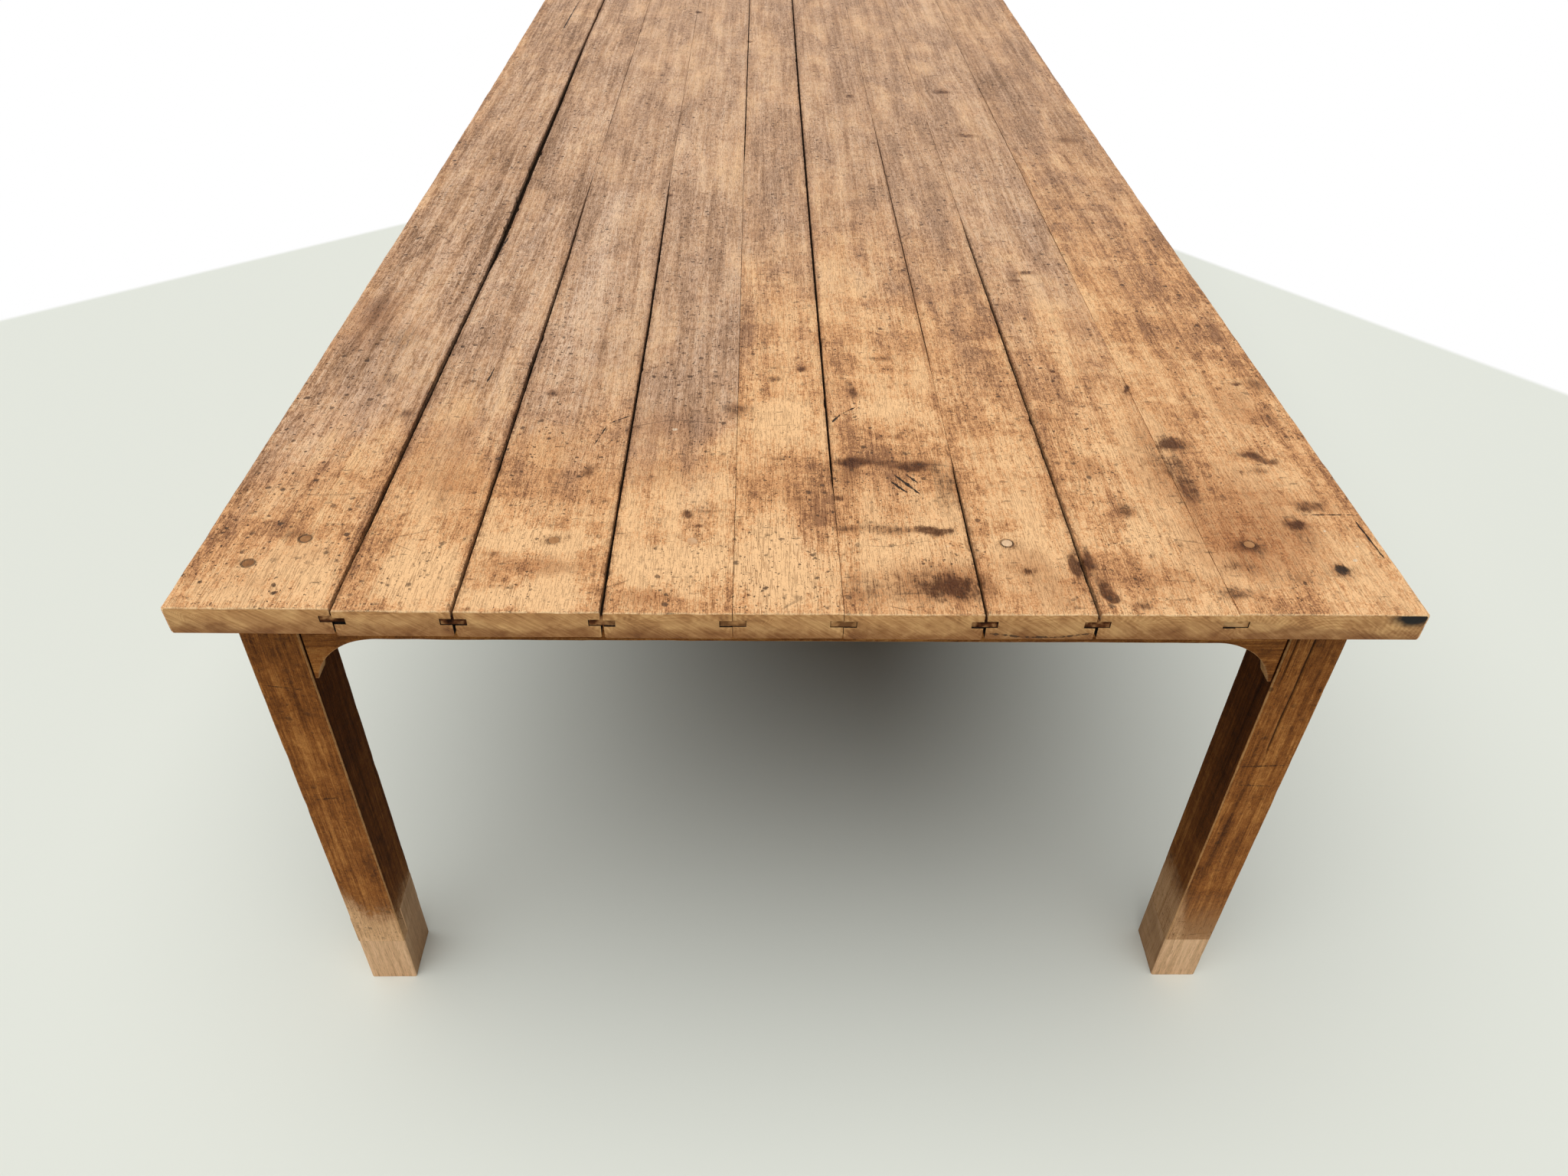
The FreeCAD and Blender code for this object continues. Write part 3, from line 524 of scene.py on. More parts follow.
def post(name, cad_name, materials, seed, checks=(), squeeze=None):
    """A square post carried up its height: four faces of even columns joined by quarter-round corners.

    The corners' radius and the faces waver by noise; checks are drying cracks in the near face, each a
    V groove (place across, from height, to height, half width); squeeze (height of the ledge, front, back)
    narrows the depth on one side of a ledge to what lies between front and back."""
    low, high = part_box(cad_name)
    centre = (low + high) / 2
    half_x = (high.x - low.x) / 2
    half_y = (high.y - low.y) / 2
    z = np.concatenate([[0.0, 0.4, 1.2, 2.5], np.arange(6.0, (high.z - low.z) / MM - 5.0, 4.0)]) * MM + low.z
    z = np.concatenate([z, high.z - np.array([2.5, 1.2, 0.4, 0.0]) * MM])
    if squeeze:
        ledge, front, back = squeeze
        away_from_it = z[np.abs(z - ledge) > 0.6 * MM]
        z = np.sort(np.concatenate([away_from_it, [ledge - 0.15 * MM, ledge + 0.15 * MM]]))
    even = np.linspace(-1.0, 1.0, 15)
    flat_half = half_x - 3 * MM
    grooves = [(check[0] - centre.x) / flat_half + GROOVE_OFFSETS * check[3] / flat_half for check in checks]
    near_columns = np.unique(np.round(np.concatenate([even] + grooves), 4))
    turn = np.linspace(0.0, math.pi / 2, 5)[1:-1]
    radius = 2.4 * MM * (1 + 0.35 * layers(z / 0.06, 0.5 + np.arange(4)[:, None] * 3.0, seed))
    flat_x, flat_y, sides = [], [], []
    plan = ((0, -1, near_columns), (1, 0, even), (0, 1, even[::-1]), (-1, 0, even[::-1]))
    for corner, (out_x, out_y, across_face) in enumerate(plan):
        before = radius[corner][:, None]
        after = radius[(corner + 1) % 4][:, None]
        reach = half_x if out_y else half_y
        lowest = np.where(across_face[0] < 0, -(reach - before), reach - before)
        highest = np.where(across_face[0] < 0, reach - after, -(reach - after))
        share = (across_face - across_face[0]) / (across_face[-1] - across_face[0])
        run = lowest + (highest - lowest) * share
        if out_y:
            flat_x.append(run)
            flat_y.append(np.full(run.shape, out_y * half_y))
        else:
            flat_x.append(np.full(run.shape, out_x * half_x))
            flat_y.append(run)
        sides.append(np.full(run.shape, corner))
        facing = math.atan2(out_y, out_x)
        middle_x = math.copysign(1, math.cos(facing + math.pi / 4)) * (half_x - after)
        middle_y = math.copysign(1, math.sin(facing + math.pi / 4)) * (half_y - after)
        flat_x.append(middle_x + after * np.cos(facing + turn))
        flat_y.append(middle_y + after * np.sin(facing + turn))
        sides.append(np.full((len(z), len(turn)), corner + 0.5))
    px = np.concatenate(flat_x, axis=1)
    py = np.concatenate(flat_y, axis=1)
    side = np.concatenate(sides, axis=1)
    height = np.broadcast_to(z[:, None], px.shape)
    steps = np.hypot(np.diff(px), np.diff(py))
    unrolled = np.concatenate([np.zeros((len(z), 1)), np.cumsum(steps, axis=1)], axis=1)
    worn = 0.2 * MM * (1 + layers(unrolled / 0.03, height / 0.11, seed + 1, 3))
    worn = worn + 0.45 * MM * dents(unrolled, height, 0.05, seed + 2)
    crack = np.zeros(px.shape)
    for across, bottom, top, half in checks:
        place = across - centre.x + 1.2 * MM * layers(height / 0.05, 0.5, seed + 3, 3)
        taper = smooth(bottom, bottom + 0.05, height) * (1 - smooth(top - 0.01, top + 0.01, height))
        gap = (1 - np.clip(np.abs(px - place) / (half * 1.6), 0.0, 1.0)) * taper * (side == 0)
        crack = np.maximum(crack, gap)
    ends = rounding(np.minimum(height - low.z, high.z - height), 1.0 * MM)
    inset = worn + ends + 2.2 * MM * crack
    scale_x = 1 - inset / half_x
    scale_y = 1 - inset / half_y
    px = px * np.where(np.abs(np.abs(px) - half_x) < 4 * MM, scale_x, 1 - ends / half_x)
    py = py * np.where(np.abs(np.abs(py) - half_y) < 4 * MM, scale_y, 1 - ends / half_y)
    if squeeze:
        spread_y = (py + half_y) / (2 * half_y)
        cut = low.y + front + spread_y * (back - front) - centre.y
        py = np.where((height < ledge) == (back < 2 * half_y), cut, py)
    rings = np.stack([px + centre.x, py + centre.y, height], axis=-1)
    inward_x = -np.sign(centre.x) * (1.0 * (side == 1) - (side == 3))
    inward_y = -np.sign(centre.y) * (1.0 * (side == 2) - (side == 0))
    grain = np.stack([unrolled + 2 * MM * layers(height / 0.3, unrolled / 0.1, seed + 4, 2),
                      height + 0.37 * seed, np.full(px.shape, 0.31 * seed)], axis=-1)
    values = {
        "grain": grain,
        # Faces turned in under the table: the frame material puts painted shade on them
        "inner": np.maximum(inward_x, inward_y).clip(0.0, 1.0),
        "edge": (side % 1 > 0.25).astype(float),
        "crack": crack,
    }
    add_piece(sweep(name, rings, values, materials), cad_name)


# Aprons, in metres: half length between the legs by axis, rise of the soffit, bracket arc and its toe
APRON_REACH = (0.5442, 1.3542)
SOFFIT_RISE = 0.060
BRACKET_RADIUS = 0.077
BRACKET_RUN = 0.078
TOE_RUN = 0.075


def apron(name, cad_name, axis, materials, seed):
    """A rail carried from leg to leg: an oblong section whose lower edge follows the soffit and brackets.

    Near each leg the lower edge drops along a circle that is tangent to the soffit, down to a short toe;
    the lower arrises are quarter rounds that waver by noise."""
    low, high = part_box(cad_name)
    reach = APRON_REACH[axis]
    near_leg = np.arange(0.0, 0.090, 0.0015)
    middle = np.arange(near_leg[-1] + 0.012, 2 * reach - near_leg[-1] - 0.006, 0.012)
    s = np.concatenate([near_leg, middle, 2 * reach - near_leg[::-1]]) - reach
    from_leg = reach - np.abs(s)
    run = np.clip(BRACKET_RUN - from_leg, 0.0, TOE_RUN)
    lower = low.z + SOFFIT_RISE - rounding(BRACKET_RADIUS - run, BRACKET_RADIUS)
    lower = lower + 0.3 * MM * layers(s / 0.04, 0.5, seed, 2)
    outer, inner = (low, high) if abs(low[1 - axis]) > abs(high[1 - axis]) else (high, low)
    front, back = outer[1 - axis], inner[1 - axis]
    thick = abs(back - front)
    arris = 1.9 * MM * (1 + 0.5 * layers(s / 0.03, 1.5, seed + 1, 2))[:, None]
    turn = np.linspace(0.0, math.pi / 2, 5)
    rise = np.linspace(0.0, 1.0, 9)[1:]
    tall = (high.z - lower)[:, None]
    flat = np.zeros((len(s), len(rise)))
    in_turn = arris * (1 - np.sin(turn))
    up_turn = arris * (1 - np.cos(turn))
    up_flat = arris + (tall - arris) * rise
    depth = np.concatenate([in_turn, flat, flat + thick, thick - in_turn[:, ::-1]], axis=1)
    up = np.concatenate([up_turn, up_flat, up_flat[:, ::-1], up_turn[:, ::-1]], axis=1)
    wobble = 0.4 * MM * (1 + layers(s[:, None] / 0.08, up / 0.03, seed + 2, 3))
    depth = depth + wobble * (depth < 1e-6)
    across = front + (depth if back > front else -depth)
    height = lower[:, None] + up
    place = np.broadcast_to(s[:, None], across.shape)
    level = [place, across] if axis == 0 else [across, place]
    rings = np.stack(level + [height], axis=-1)
    grain = np.stack([height + depth, place + 0.41 * seed, np.full(place.shape, 0.23 * seed)], axis=-1)
    values = {
        "grain": grain,
        # The back of the rail and its underside toward the back: the frame material puts painted shade there
        "inner": smooth(0.3 * thick, 0.9 * thick, depth),
        "edge": 1 - smooth(0.0, 4 * MM, up),
        "crack": np.zeros(place.shape),
    }
    add_piece(sweep(name, rings, values, materials), cad_name)


def pegs(name, cad_name, material):
    """All pegs as one mesh: each is a profile of radius and height turned about its axis, domed on top.

    The top of each peg stands a little above the worn face round it, and its foot is where the node ends."""
    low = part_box(cad_name)[0]
    turn = np.linspace(0.0, 2 * math.pi, PEG_TURNS + 1)[:-1]
    share = np.array([0.12, 0.4, 0.7, 0.88, 0.97, 1.0, 1.0, 0.9])
    dome = np.array([0.5, 0.48, 0.38, 0.2, 0.0, -0.35, 0.0, 0.0]) * MM
    size = len(share) * PEG_TURNS
    points, faces, tints = [], [], []
    for number, (across, along) in enumerate(PEG_PLACES):
        owner = int(np.searchsorted([row[0][1] for row in JOINT_LINES], across / MM)) + 1
        crown = float(worn_height(np.array([across]), np.array([along]), owner)[0]) + 0.15 * MM
        crown = crown - HOLE_DEPTH * (number == SUNK_PEG)
        in_leg = number % PEGS_IN_ROW < PEGS_IN_LEGS
        foot = UNDER - PEG_IN_LEG if in_leg else low.z
        levels = crown + dome
        levels[-2:] = foot + 1.0 * MM, foot
        lean = 0.25 * MM * ripple(share[:, None] * 2 + number, np.cos(turn) + 3, 501)
        ring = PEG_RADIUS * share[:, None] * (1 + 0.03 * np.sin(2 * turn + number))
        x = across + ring * np.cos(turn)
        y = along + ring * np.sin(turn)
        z = levels[:, None] + lean * (share[:, None] > 0.5) * (np.arange(len(share))[:, None] < 5)
        tints.append(np.full(size, PEG_TINTS[number]))
        points.append(np.stack([x, y, np.broadcast_to(z, x.shape)], axis=-1).reshape(-1, 3))
        index = number * size + np.arange(size).reshape(len(share), PEG_TURNS)
        following = np.roll(index, -1, axis=1)
        quads = np.stack([index[:-1], index[1:], following[1:], following[:-1]], axis=-1).reshape(-1, 4)
        faces += quads.tolist() + [index[0].tolist(), index[-1][::-1].tolist()]
    mesh = bpy.data.meshes.new(name)
    mesh.from_pydata(np.concatenate(points), [], faces)
    tint = mesh.attributes.new("tint", "FLOAT", "POINT")
    tint.data.foreach_set("value", np.concatenate(tints).astype(np.float32))
    mesh.materials.append(material)
    add_piece(mesh, cad_name)


# Shader nodes

def wire(tree, socket, value):
    """Links a socket to an output, or sets it to a constant."""
    if isinstance(value, bpy.types.NodeSocket):
        tree.links.new(value, socket)
    else:
        socket.default_value = value


def node(tree, kind, inputs=None, **settings):
    """Adds a node, makes its settings, then wires its inputs by name or number."""
    made = tree.nodes.new(kind)
    for name, value in settings.items():
        setattr(made, name, value)
    for key, value in (inputs or {}).items():
        wire(tree, made.inputs[key], value)
    return made


def calc(tree, operation, first, second=0.0, third=0.0):
    """One sum on values."""
    return node(tree, "ShaderNodeMath", {0: first, 1: second, 2: third}, operation=operation).outputs[0]


def times(tree, first, second):
    """Product of two values."""
    return calc(tree, "MULTIPLY", first, second)


def largest(tree, *values):
    """Largest of some values."""
    most = values[0]
    for value in values[1:]:
        most = calc(tree, "MAXIMUM", value, most)
    return most


def spread(tree, value, scale):
    """A value's distance from one half, scaled."""
    return calc(tree, "MULTIPLY_ADD", calc(tree, "SUBTRACT", value, 0.5), scale, 0.5)


def weighted(tree, terms, start=0.0):
    """Sum of values times weights."""
    total = start
    for value, weight in terms:
        total = calc(tree, "MULTIPLY_ADD", value, weight, total)
    return total


def vector_calc(tree, operation, first, second=(0.0, 0.0, 0.0)):
    """One sum on vectors."""
    return node(tree, "ShaderNodeVectorMath", {0: first, 1: second}, operation=operation)


def step(tree, value, low, high, first=0.0, last=1.0):
    """Smooth step of a value from first at low to last at high."""
    return node(tree, "ShaderNodeMapRange", {0: value, 1: low, 2: high, 3: first, 4: last},
                interpolation_type="SMOOTHSTEP").outputs[0]


def mix(tree, share, first, second, how="MIX"):
    """Mix of two colours."""
    return node(tree, "ShaderNodeMix", {0: share, 6: first, 7: second}, data_type="RGBA", blend_type=how,
                clamp_factor=True).outputs[2]


def cloud(tree, vector, stretch, detail=3.0, roughness=0.55, distortion=0.0):
    """Noise on a stretched vector."""
    stretched = vector_calc(tree, "MULTIPLY", vector, stretch).outputs[0]
    return node(tree, "ShaderNodeTexNoise", {"Vector": stretched, "Scale": 1.0, "Detail": detail,
                                             "Roughness": roughness, "Distortion": distortion}).outputs[0]


def ramp(tree, value, stops):
    """Colour ramp with stops of (place, colour)."""
    made = node(tree, "ShaderNodeValToRGB", {0: value})
    made.color_ramp.elements[0].position = stops[0][0]
    made.color_ramp.elements[0].color = (*stops[0][1], 1.0)
    made.color_ramp.elements[1].position = stops[-1][0]
    made.color_ramp.elements[1].color = (*stops[-1][1], 1.0)
    for place, colour in stops[1:-1]:
        made.color_ramp.elements.new(place).color = (*colour, 1.0)
    return made.outputs[0]


def attribute(tree, name, output="Fac"):
    """Reads one of the piece's own attributes."""
    return node(tree, "ShaderNodeAttribute", attribute_name=name).outputs[output]


def place_of(tree):
    """Object coordinates."""
    return node(tree, "ShaderNodeTexCoord").outputs["Object"]


def parts_of(tree, vector):
    """The three parts of a vector."""
    return node(tree, "ShaderNodeSeparateXYZ", {0: vector}).outputs


def elevation(tree, spot):
    """Place across and height as the first two parts of a vector."""
    return node(tree, "ShaderNodeCombineXYZ", {0: spot[0], 1: spot[2], 2: 0.0}).outputs[0]


def shown_directly(tree):
    """1 for rays from the camera, off a mirror or through glass, 0 for rays that only carry light."""
    rays = node(tree, "ShaderNodeLightPath").outputs
    return largest(tree, rays["Is Camera Ray"], rays["Is Glossy Ray"], rays["Is Transmission Ray"])


def new_group(name, inputs, outputs):
    """An empty shader group with named sockets; gives the tree, its input sockets and its output sockets."""
    tree = bpy.data.node_groups.new(name, "ShaderNodeTree")
    for label, kind in inputs:
        tree.interface.new_socket(name=label, in_out="INPUT", socket_type=kind)
    for label, kind in outputs:
        tree.interface.new_socket(name=label, in_out="OUTPUT", socket_type=kind)
    return tree, tree.nodes.new("NodeGroupInput").outputs, tree.nodes.new("NodeGroupOutput").inputs


def use_group(tree, group, inputs):
    """Places a shader group in a tree and gives its outputs."""
    made = tree.nodes.new("ShaderNodeGroup")
    made.node_tree = group
    for key, value in inputs.items():
        wire(tree, made.inputs[key], value)
    return made.outputs


VALUE = "NodeSocketFloat"
VECTOR = "NodeSocketVector"


def oak_grain_group():
    """Oak grain along the second axis: rubbed patches, bands, lines, fibres and pores, each from 0 to 1."""
    tree, given, made = new_group("oak_grain", [("Grain", VECTOR)],
                                  [(label, VALUE) for label in ("Rub", "Band", "Line", "Fibre", "Pore")])
    patches = cloud(tree, given["Grain"], (6.0, 15.0, 1.0), 6.0, 0.55, 0.3)
    wire(tree, made["Rub"], step(tree, patches, 0.43, 0.55))
    wire(tree, made["Band"], cloud(tree, given["Grain"], (48.0, 2.0, 1.0), 4.0, 0.6, 0.4))
    wire(tree, made["Line"], cloud(tree, given["Grain"], (210.0, 5.0, 1.0), 4.0, 0.62))
    wire(tree, made["Fibre"], cloud(tree, given["Grain"], (820.0, 34.0, 1.0), 3.0, 0.7))
    pores = cloud(tree, given["Grain"], (1150.0, 52.0, 1.0), 1.5, 0.5)
    wire(tree, made["Pore"], step(tree, pores, 0.56, 0.66))
    return tree


# Pits in worn oak: cells in a metre, share of cells left plain, radius as a share of a cell
PIT_SIZES = ((60.0, 0.25, 0.25), (130.0, 0.3, 0.27), (300.0, 0.35, 0.30))


def table_wear_group():
    """Years of use: clouds, mottling, grit, dark pits of three sizes, nicks across the grain, scratches."""
    tree, given, made = new_group("table_wear", [("Place", VECTOR)],
                                  [(label, VALUE) for label in
                                   ("Cloud", "Mottle", "Grit", "Pit", "Nick", "Scratch")])
    place = given["Place"]
    soft = cloud(tree, place, (15.0, 4.0, 15.0), 6.0, 0.62, 0.5)
    wire(tree, made["Cloud"], soft)
    wire(tree, made["Mottle"], cloud(tree, place, (120.0, 95.0, 120.0), 4.0, 0.68, 0.8))
    wire(tree, made["Grit"], cloud(tree, place, (560.0, 380.0, 560.0), 2.0, 0.6))
    blur = node(tree, "ShaderNodeTexNoise", {"Vector": place, "Scale": 260.0, "Detail": 1.0}).outputs["Color"]
    jitter = vector_calc(tree, "SCALE", vector_calc(tree, "SUBTRACT", blur, (0.5, 0.5, 0.5)).outputs[0])
    jitter.inputs["Scale"].default_value = 0.0045
    ragged = vector_calc(tree, "ADD", place, jitter.outputs[0]).outputs[0]
    pits = [0.0]
    for scale, chance, width in PIT_SIZES:
        cell = node(tree, "ShaderNodeTexVoronoi", {"Vector": ragged, "Scale": scale, "Randomness": 1.0})
        lots = node(tree, "ShaderNodeSeparateColor", {0: cell.outputs["Color"]}).outputs
        radius = calc(tree, "MULTIPLY_ADD", lots[1], 0.75 * width, 0.4 * width)
        near = step(tree, calc(tree, "DIVIDE", cell.outputs["Distance"], radius), 0.5, 1.0, 1.0, 0.0)
        pits.append(times(tree, near, step(tree, lots[0], chance, chance + 0.3)))
    gathered = step(tree, soft, 0.42, 0.62, 1.0, 0.25)
    wire(tree, made["Pit"], times(tree, largest(tree, *pits), gathered))
    flat = vector_calc(tree, "MULTIPLY", ragged, (34.0, 150.0, 10.0)).outputs[0]
    nicks = node(tree, "ShaderNodeTexVoronoi", {"Vector": flat, "Scale": 1.0, "Randomness": 1.0})
    lots = node(tree, "ShaderNodeSeparateColor", {0: nicks.outputs["Color"]}).outputs
    close = step(tree, nicks.outputs["Distance"], 0.07, 0.24, 1.0, 0.0)
    wire(tree, made["Nick"], times(tree, close, step(tree, lots[1], 0.72, 0.98)))
    wander = cloud(tree, place, (5.0, 11.0, 5.0), 0.0, 0.45, 0.2)
    off = calc(tree, "ABSOLUTE", calc(tree, "SUBTRACT", wander, 0.5))
    line = step(tree, off, 0.0008, 0.0035, 1.0, 0.0)
    broken = step(tree, cloud(tree, place, (21.0, 17.0, 20.0), 1.0), 0.54, 0.64)
    wire(tree, made["Scratch"], times(tree, line, broken))
    return tree


def crack_group():
    """A crack: distance to a straight run between two points, wavering by noise, faded past its width."""
    tree, given, made = new_group("crack", [("Place", VECTOR), ("Start", VECTOR), ("End", VECTOR),
                                            ("Width", VALUE)], [("Crack", VALUE)])
    run = vector_calc(tree, "SUBTRACT", given["End"], given["Start"]).outputs[0]
    flat = vector_calc(tree, "MULTIPLY", given["Place"], (1.0, 1.0, 0.0)).outputs[0]
    away = vector_calc(tree, "SUBTRACT", flat, given["Start"]).outputs[0]
    along = vector_calc(tree, "DOT_PRODUCT", away, run).outputs["Value"]
    whole = vector_calc(tree, "DOT_PRODUCT", run, run).outputs["Value"]
    share = node(tree, "ShaderNodeClamp", {0: calc(tree, "DIVIDE", along, whole)}).outputs[0]
    foot = node(tree, "ShaderNodeVectorMath", {0: run, "Scale": share}, operation="SCALE").outputs[0]
    distance = vector_calc(tree, "DISTANCE", away, foot).outputs["Value"]
    noise = cloud(tree, flat, (160.0, 70.0, 1.0), 2.0)
    waver = times(tree, calc(tree, "SUBTRACT", noise, 0.5), 0.006)
    from_middle = calc(tree, "ABSOLUTE", calc(tree, "MULTIPLY_ADD", share, 2.0, -1.0))
    taper = calc(tree, "SUBTRACT", 1.15, calc(tree, "POWER", from_middle, 3.0))
    width = times(tree, given["Width"], taper)
    off = calc(tree, "ABSOLUTE", calc(tree, "ADD", distance, waver))
    wire(tree, made["Crack"], step(tree, calc(tree, "DIVIDE", off, width), 0.25, 0.75, 1.0, 0.0))
    return tree


def peg_ring_group():
    """The dark ring round a peg: nearness to a circle about its centre."""
    tree, given, made = new_group("peg_ring", [("Place", VECTOR), ("Centre", VECTOR)], [("Ring", VALUE)])
    flat = vector_calc(tree, "MULTIPLY", given["Place"], (1.0, 1.0, 0.0)).outputs[0]
    distance = vector_calc(tree, "DISTANCE", flat, given["Centre"]).outputs["Value"]
    wire(tree, made["Ring"], step(tree, distance, PEG_RADIUS + 0.0002, PEG_RADIUS + 0.0028, 1.0, 0.0))
    return tree


def end_grain_group():
    """Sawn end grain: growth rings round a far pith, slanting saw strokes, soft clouds, each from 0 to 1."""
    tree, given, made = new_group("end_grain", [("Grain", VECTOR), ("Place", VECTOR)],
                                  [("Ring", VALUE), ("Saw", VALUE), ("Cloud", VALUE)])
    place = given["Place"]
    own = parts_of(tree, given["Grain"])
    pith = times(tree, calc(tree, "SINE", times(tree, own[2], 9.0)), 0.09)
    across = calc(tree, "SUBTRACT", own[0], pith)
    rise = calc(tree, "SUBTRACT", parts_of(tree, place)[2], 0.69)
    reach = calc(tree, "SQRT", calc(tree, "ADD", times(tree, across, across), times(tree, rise, rise)))
    waver = times(tree, cloud(tree, place, (40.0, 40.0, 60.0), 3.0), 0.012)
    rings = calc(tree, "SINE", times(tree, calc(tree, "ADD", reach, waver), 1500.0))
    wire(tree, made["Ring"], calc(tree, "MULTIPLY_ADD", rings, 0.5, 0.5))
    slant = node(tree, "ShaderNodeMapping", {"Vector": place, "Rotation": (0.0, 0.95, 0.0)}).outputs[0]
    wire(tree, made["Saw"], cloud(tree, slant, (420.0, 10.0, 26.0), 2.0, 0.6))
    wire(tree, made["Cloud"], cloud(tree, place, (32.0, 32.0, 50.0), 4.0, 0.6, 0.4))
    return tree


OAK_GRAIN = oak_grain_group()
TABLE_WEAR = table_wear_group()
CRACK = crack_group()
PEG_RING = peg_ring_group()
END_GRAIN = end_grain_group()


def rgb(*values):
    """A colour with full alpha."""
    return (*values, 1.0)


# Colours of the wood, from dark to light, each with its place on a ramp
# The colours of the far part are paler and greyer than the patina alone: partly painted sheen
OLD_PATINA_AND_SHEEN_STOPS = ((0.12, (0.245, 0.13, 0.063)), (0.5, (0.54, 0.334, 0.21)), (0.88, (0.82, 0.595, 0.435)))
HONEY_STOPS = ((0.12, (0.33, 0.146, 0.062)), (0.5, (0.765, 0.382, 0.163)), (0.88, (1.0, 0.615, 0.31)))
END_STOPS = ((0.2, (0.22, 0.09, 0.03)), (0.52, (0.48, 0.235, 0.083)), (0.85, (0.74, 0.43, 0.18)))
FRAME_STOPS = ((0.15, (0.075, 0.022, 0.004)), (0.5, (0.285, 0.096, 0.019)), (0.85, (0.58, 0.25, 0.065)))
BARE_STOPS = ((0.15, (0.44, 0.23, 0.10)), (0.5, (0.79, 0.48, 0.25)), (0.85, (0.92, 0.62, 0.36)))
FOOT_STOPS = ((0.15, (0.44, 0.245, 0.115)), (0.5, (0.77, 0.475, 0.258)), (0.85, (0.94, 0.64, 0.39)))
BEARER_STOPS = ((0.15, (0.12, 0.065, 0.03)), (0.5, (0.24, 0.14, 0.068)), (0.85, (0.36, 0.225, 0.12)))
TENON_STOPS = ((0.15, (0.26, 0.15, 0.075)), (0.5, (0.46, 0.29, 0.155)), (0.85, (0.66, 0.46, 0.28)))
# Dark tongue ends: partly darker reddish wood and partly painted shade of the hollow groove round them
DARK_TONGUE_STOPS = ((0.2, (0.025, 0.010, 0.006)), (0.5, (0.13, 0.046, 0.018)), (0.8, (0.42, 0.21, 0.085)))
TAN_TONGUE_STOPS = ((0.2, (0.22, 0.10, 0.04)), (0.5, (0.46, 0.23, 0.09)), (0.8, (0.66, 0.38, 0.17)))
PEG_STOPS = ((0.0, (0.012, 0.008, 0.005)), (0.3, (0.27, 0.115, 0.038)), (0.6, (0.52, 0.27, 0.115)),
             (1.0, (0.80, 0.56, 0.35)))

# Colours laid over the wood
PALE_WOOD = rgb(0.88, 0.72, 0.52)
# Paler worn wood and a painted highlight at the arris of the board ends
WORN_ARRIS_AND_HIGHLIGHT = rgb(0.95, 0.66, 0.36)
RUBBED_EDGE = rgb(0.58, 0.32, 0.13)
SANDED_LEG = rgb(0.40, 0.205, 0.088)
PIT_BROWN = rgb(0.085, 0.045, 0.025)
MARK_BLACK = rgb(0.025, 0.012, 0.006)
END_GAP = rgb(0.03, 0.015, 0.008)
OPEN_GAP = rgb(0.022, 0.014, 0.009)
# Painted shade, laid over the sides in the joints and the underside of the boards
PAINTED_SHADE_BLACK = rgb(0.012, 0.008, 0.005)
BURNT_BLACK = rgb(0.008, 0.006, 0.005)
IRON_GREY = rgb(0.06, 0.055, 0.052)
RUST = rgb(0.16, 0.065, 0.028)

# Colours the wood is multiplied by
BROWN_TINT = rgb(0.56, 0.43, 0.35)
HALO_TINT = rgb(0.50, 0.39, 0.31)
BLACK_TINT = rgb(0.15, 0.10, 0.08)
GRIME_TINT = rgb(0.26, 0.17, 0.12)
TOP_PORE_TINT = rgb(0.42, 0.29, 0.20)
FRAME_PORE_TINT = rgb(0.36, 0.25, 0.18)
FOOT_PORE_TINT = rgb(0.5, 0.4, 0.32)
LOWER_END_TINT = rgb(0.55, 0.42, 0.33)
# Painted shade for the faces of the frame and feet turned in under the table
LEG_SHADE_TINT = rgb(0.20, 0.15, 0.11)
FOOT_SHADE_TINT = rgb(0.38, 0.30, 0.19)

# The burnt corner of the near end: its middle in metres, and how much it is squeezed in height
BURNT_CORNER = (0.622, NEAR, 0.765)
BURNT_SQUEEZE = 1.9


def new_material(name):
    """An empty material; gives it, its tree and its Principled BSDF."""
    material = bpy.data.materials.new(name)
    material.use_nodes = True
    return material, material.node_tree, material.node_tree.nodes["Principled BSDF"]


def dress(tree, surface, colour, roughness, mirror, height, strength, distance):
    """Gives a surface its colour, roughness and bump by values, and its mirror strength as one number."""
    wire(tree, surface.inputs["Base Color"], colour)
    wire(tree, surface.inputs["Roughness"], roughness)
    surface.inputs["Specular IOR Level"].default_value = mirror
    bump = node(tree, "ShaderNodeBump", {"Height": height, "Strength": strength, "Distance": distance})
    wire(tree, surface.inputs["Normal"], bump.outputs[0])


def own_grain(tree):
    """Oak grain along the piece's own grain attribute."""
    return use_group(tree, OAK_GRAIN, {"Grain": attribute(tree, "grain", "Vector")})


def wear_at(tree, place):
    """Years of use at a place."""
    return use_group(tree, TABLE_WEAR, {"Place": place})


def cracks_at(tree, place, lines):
    """The strongest of some cracks at a place; each line has a start, an end and a width."""
    found = [0.0]
    for start, end, width in lines:
        run = {"Place": place, "Start": (*start, 0.0), "End": (*end, 0.0), "Width": width}
        found.append(use_group(tree, CRACK, run)["Crack"])
    return largest(tree, *found)


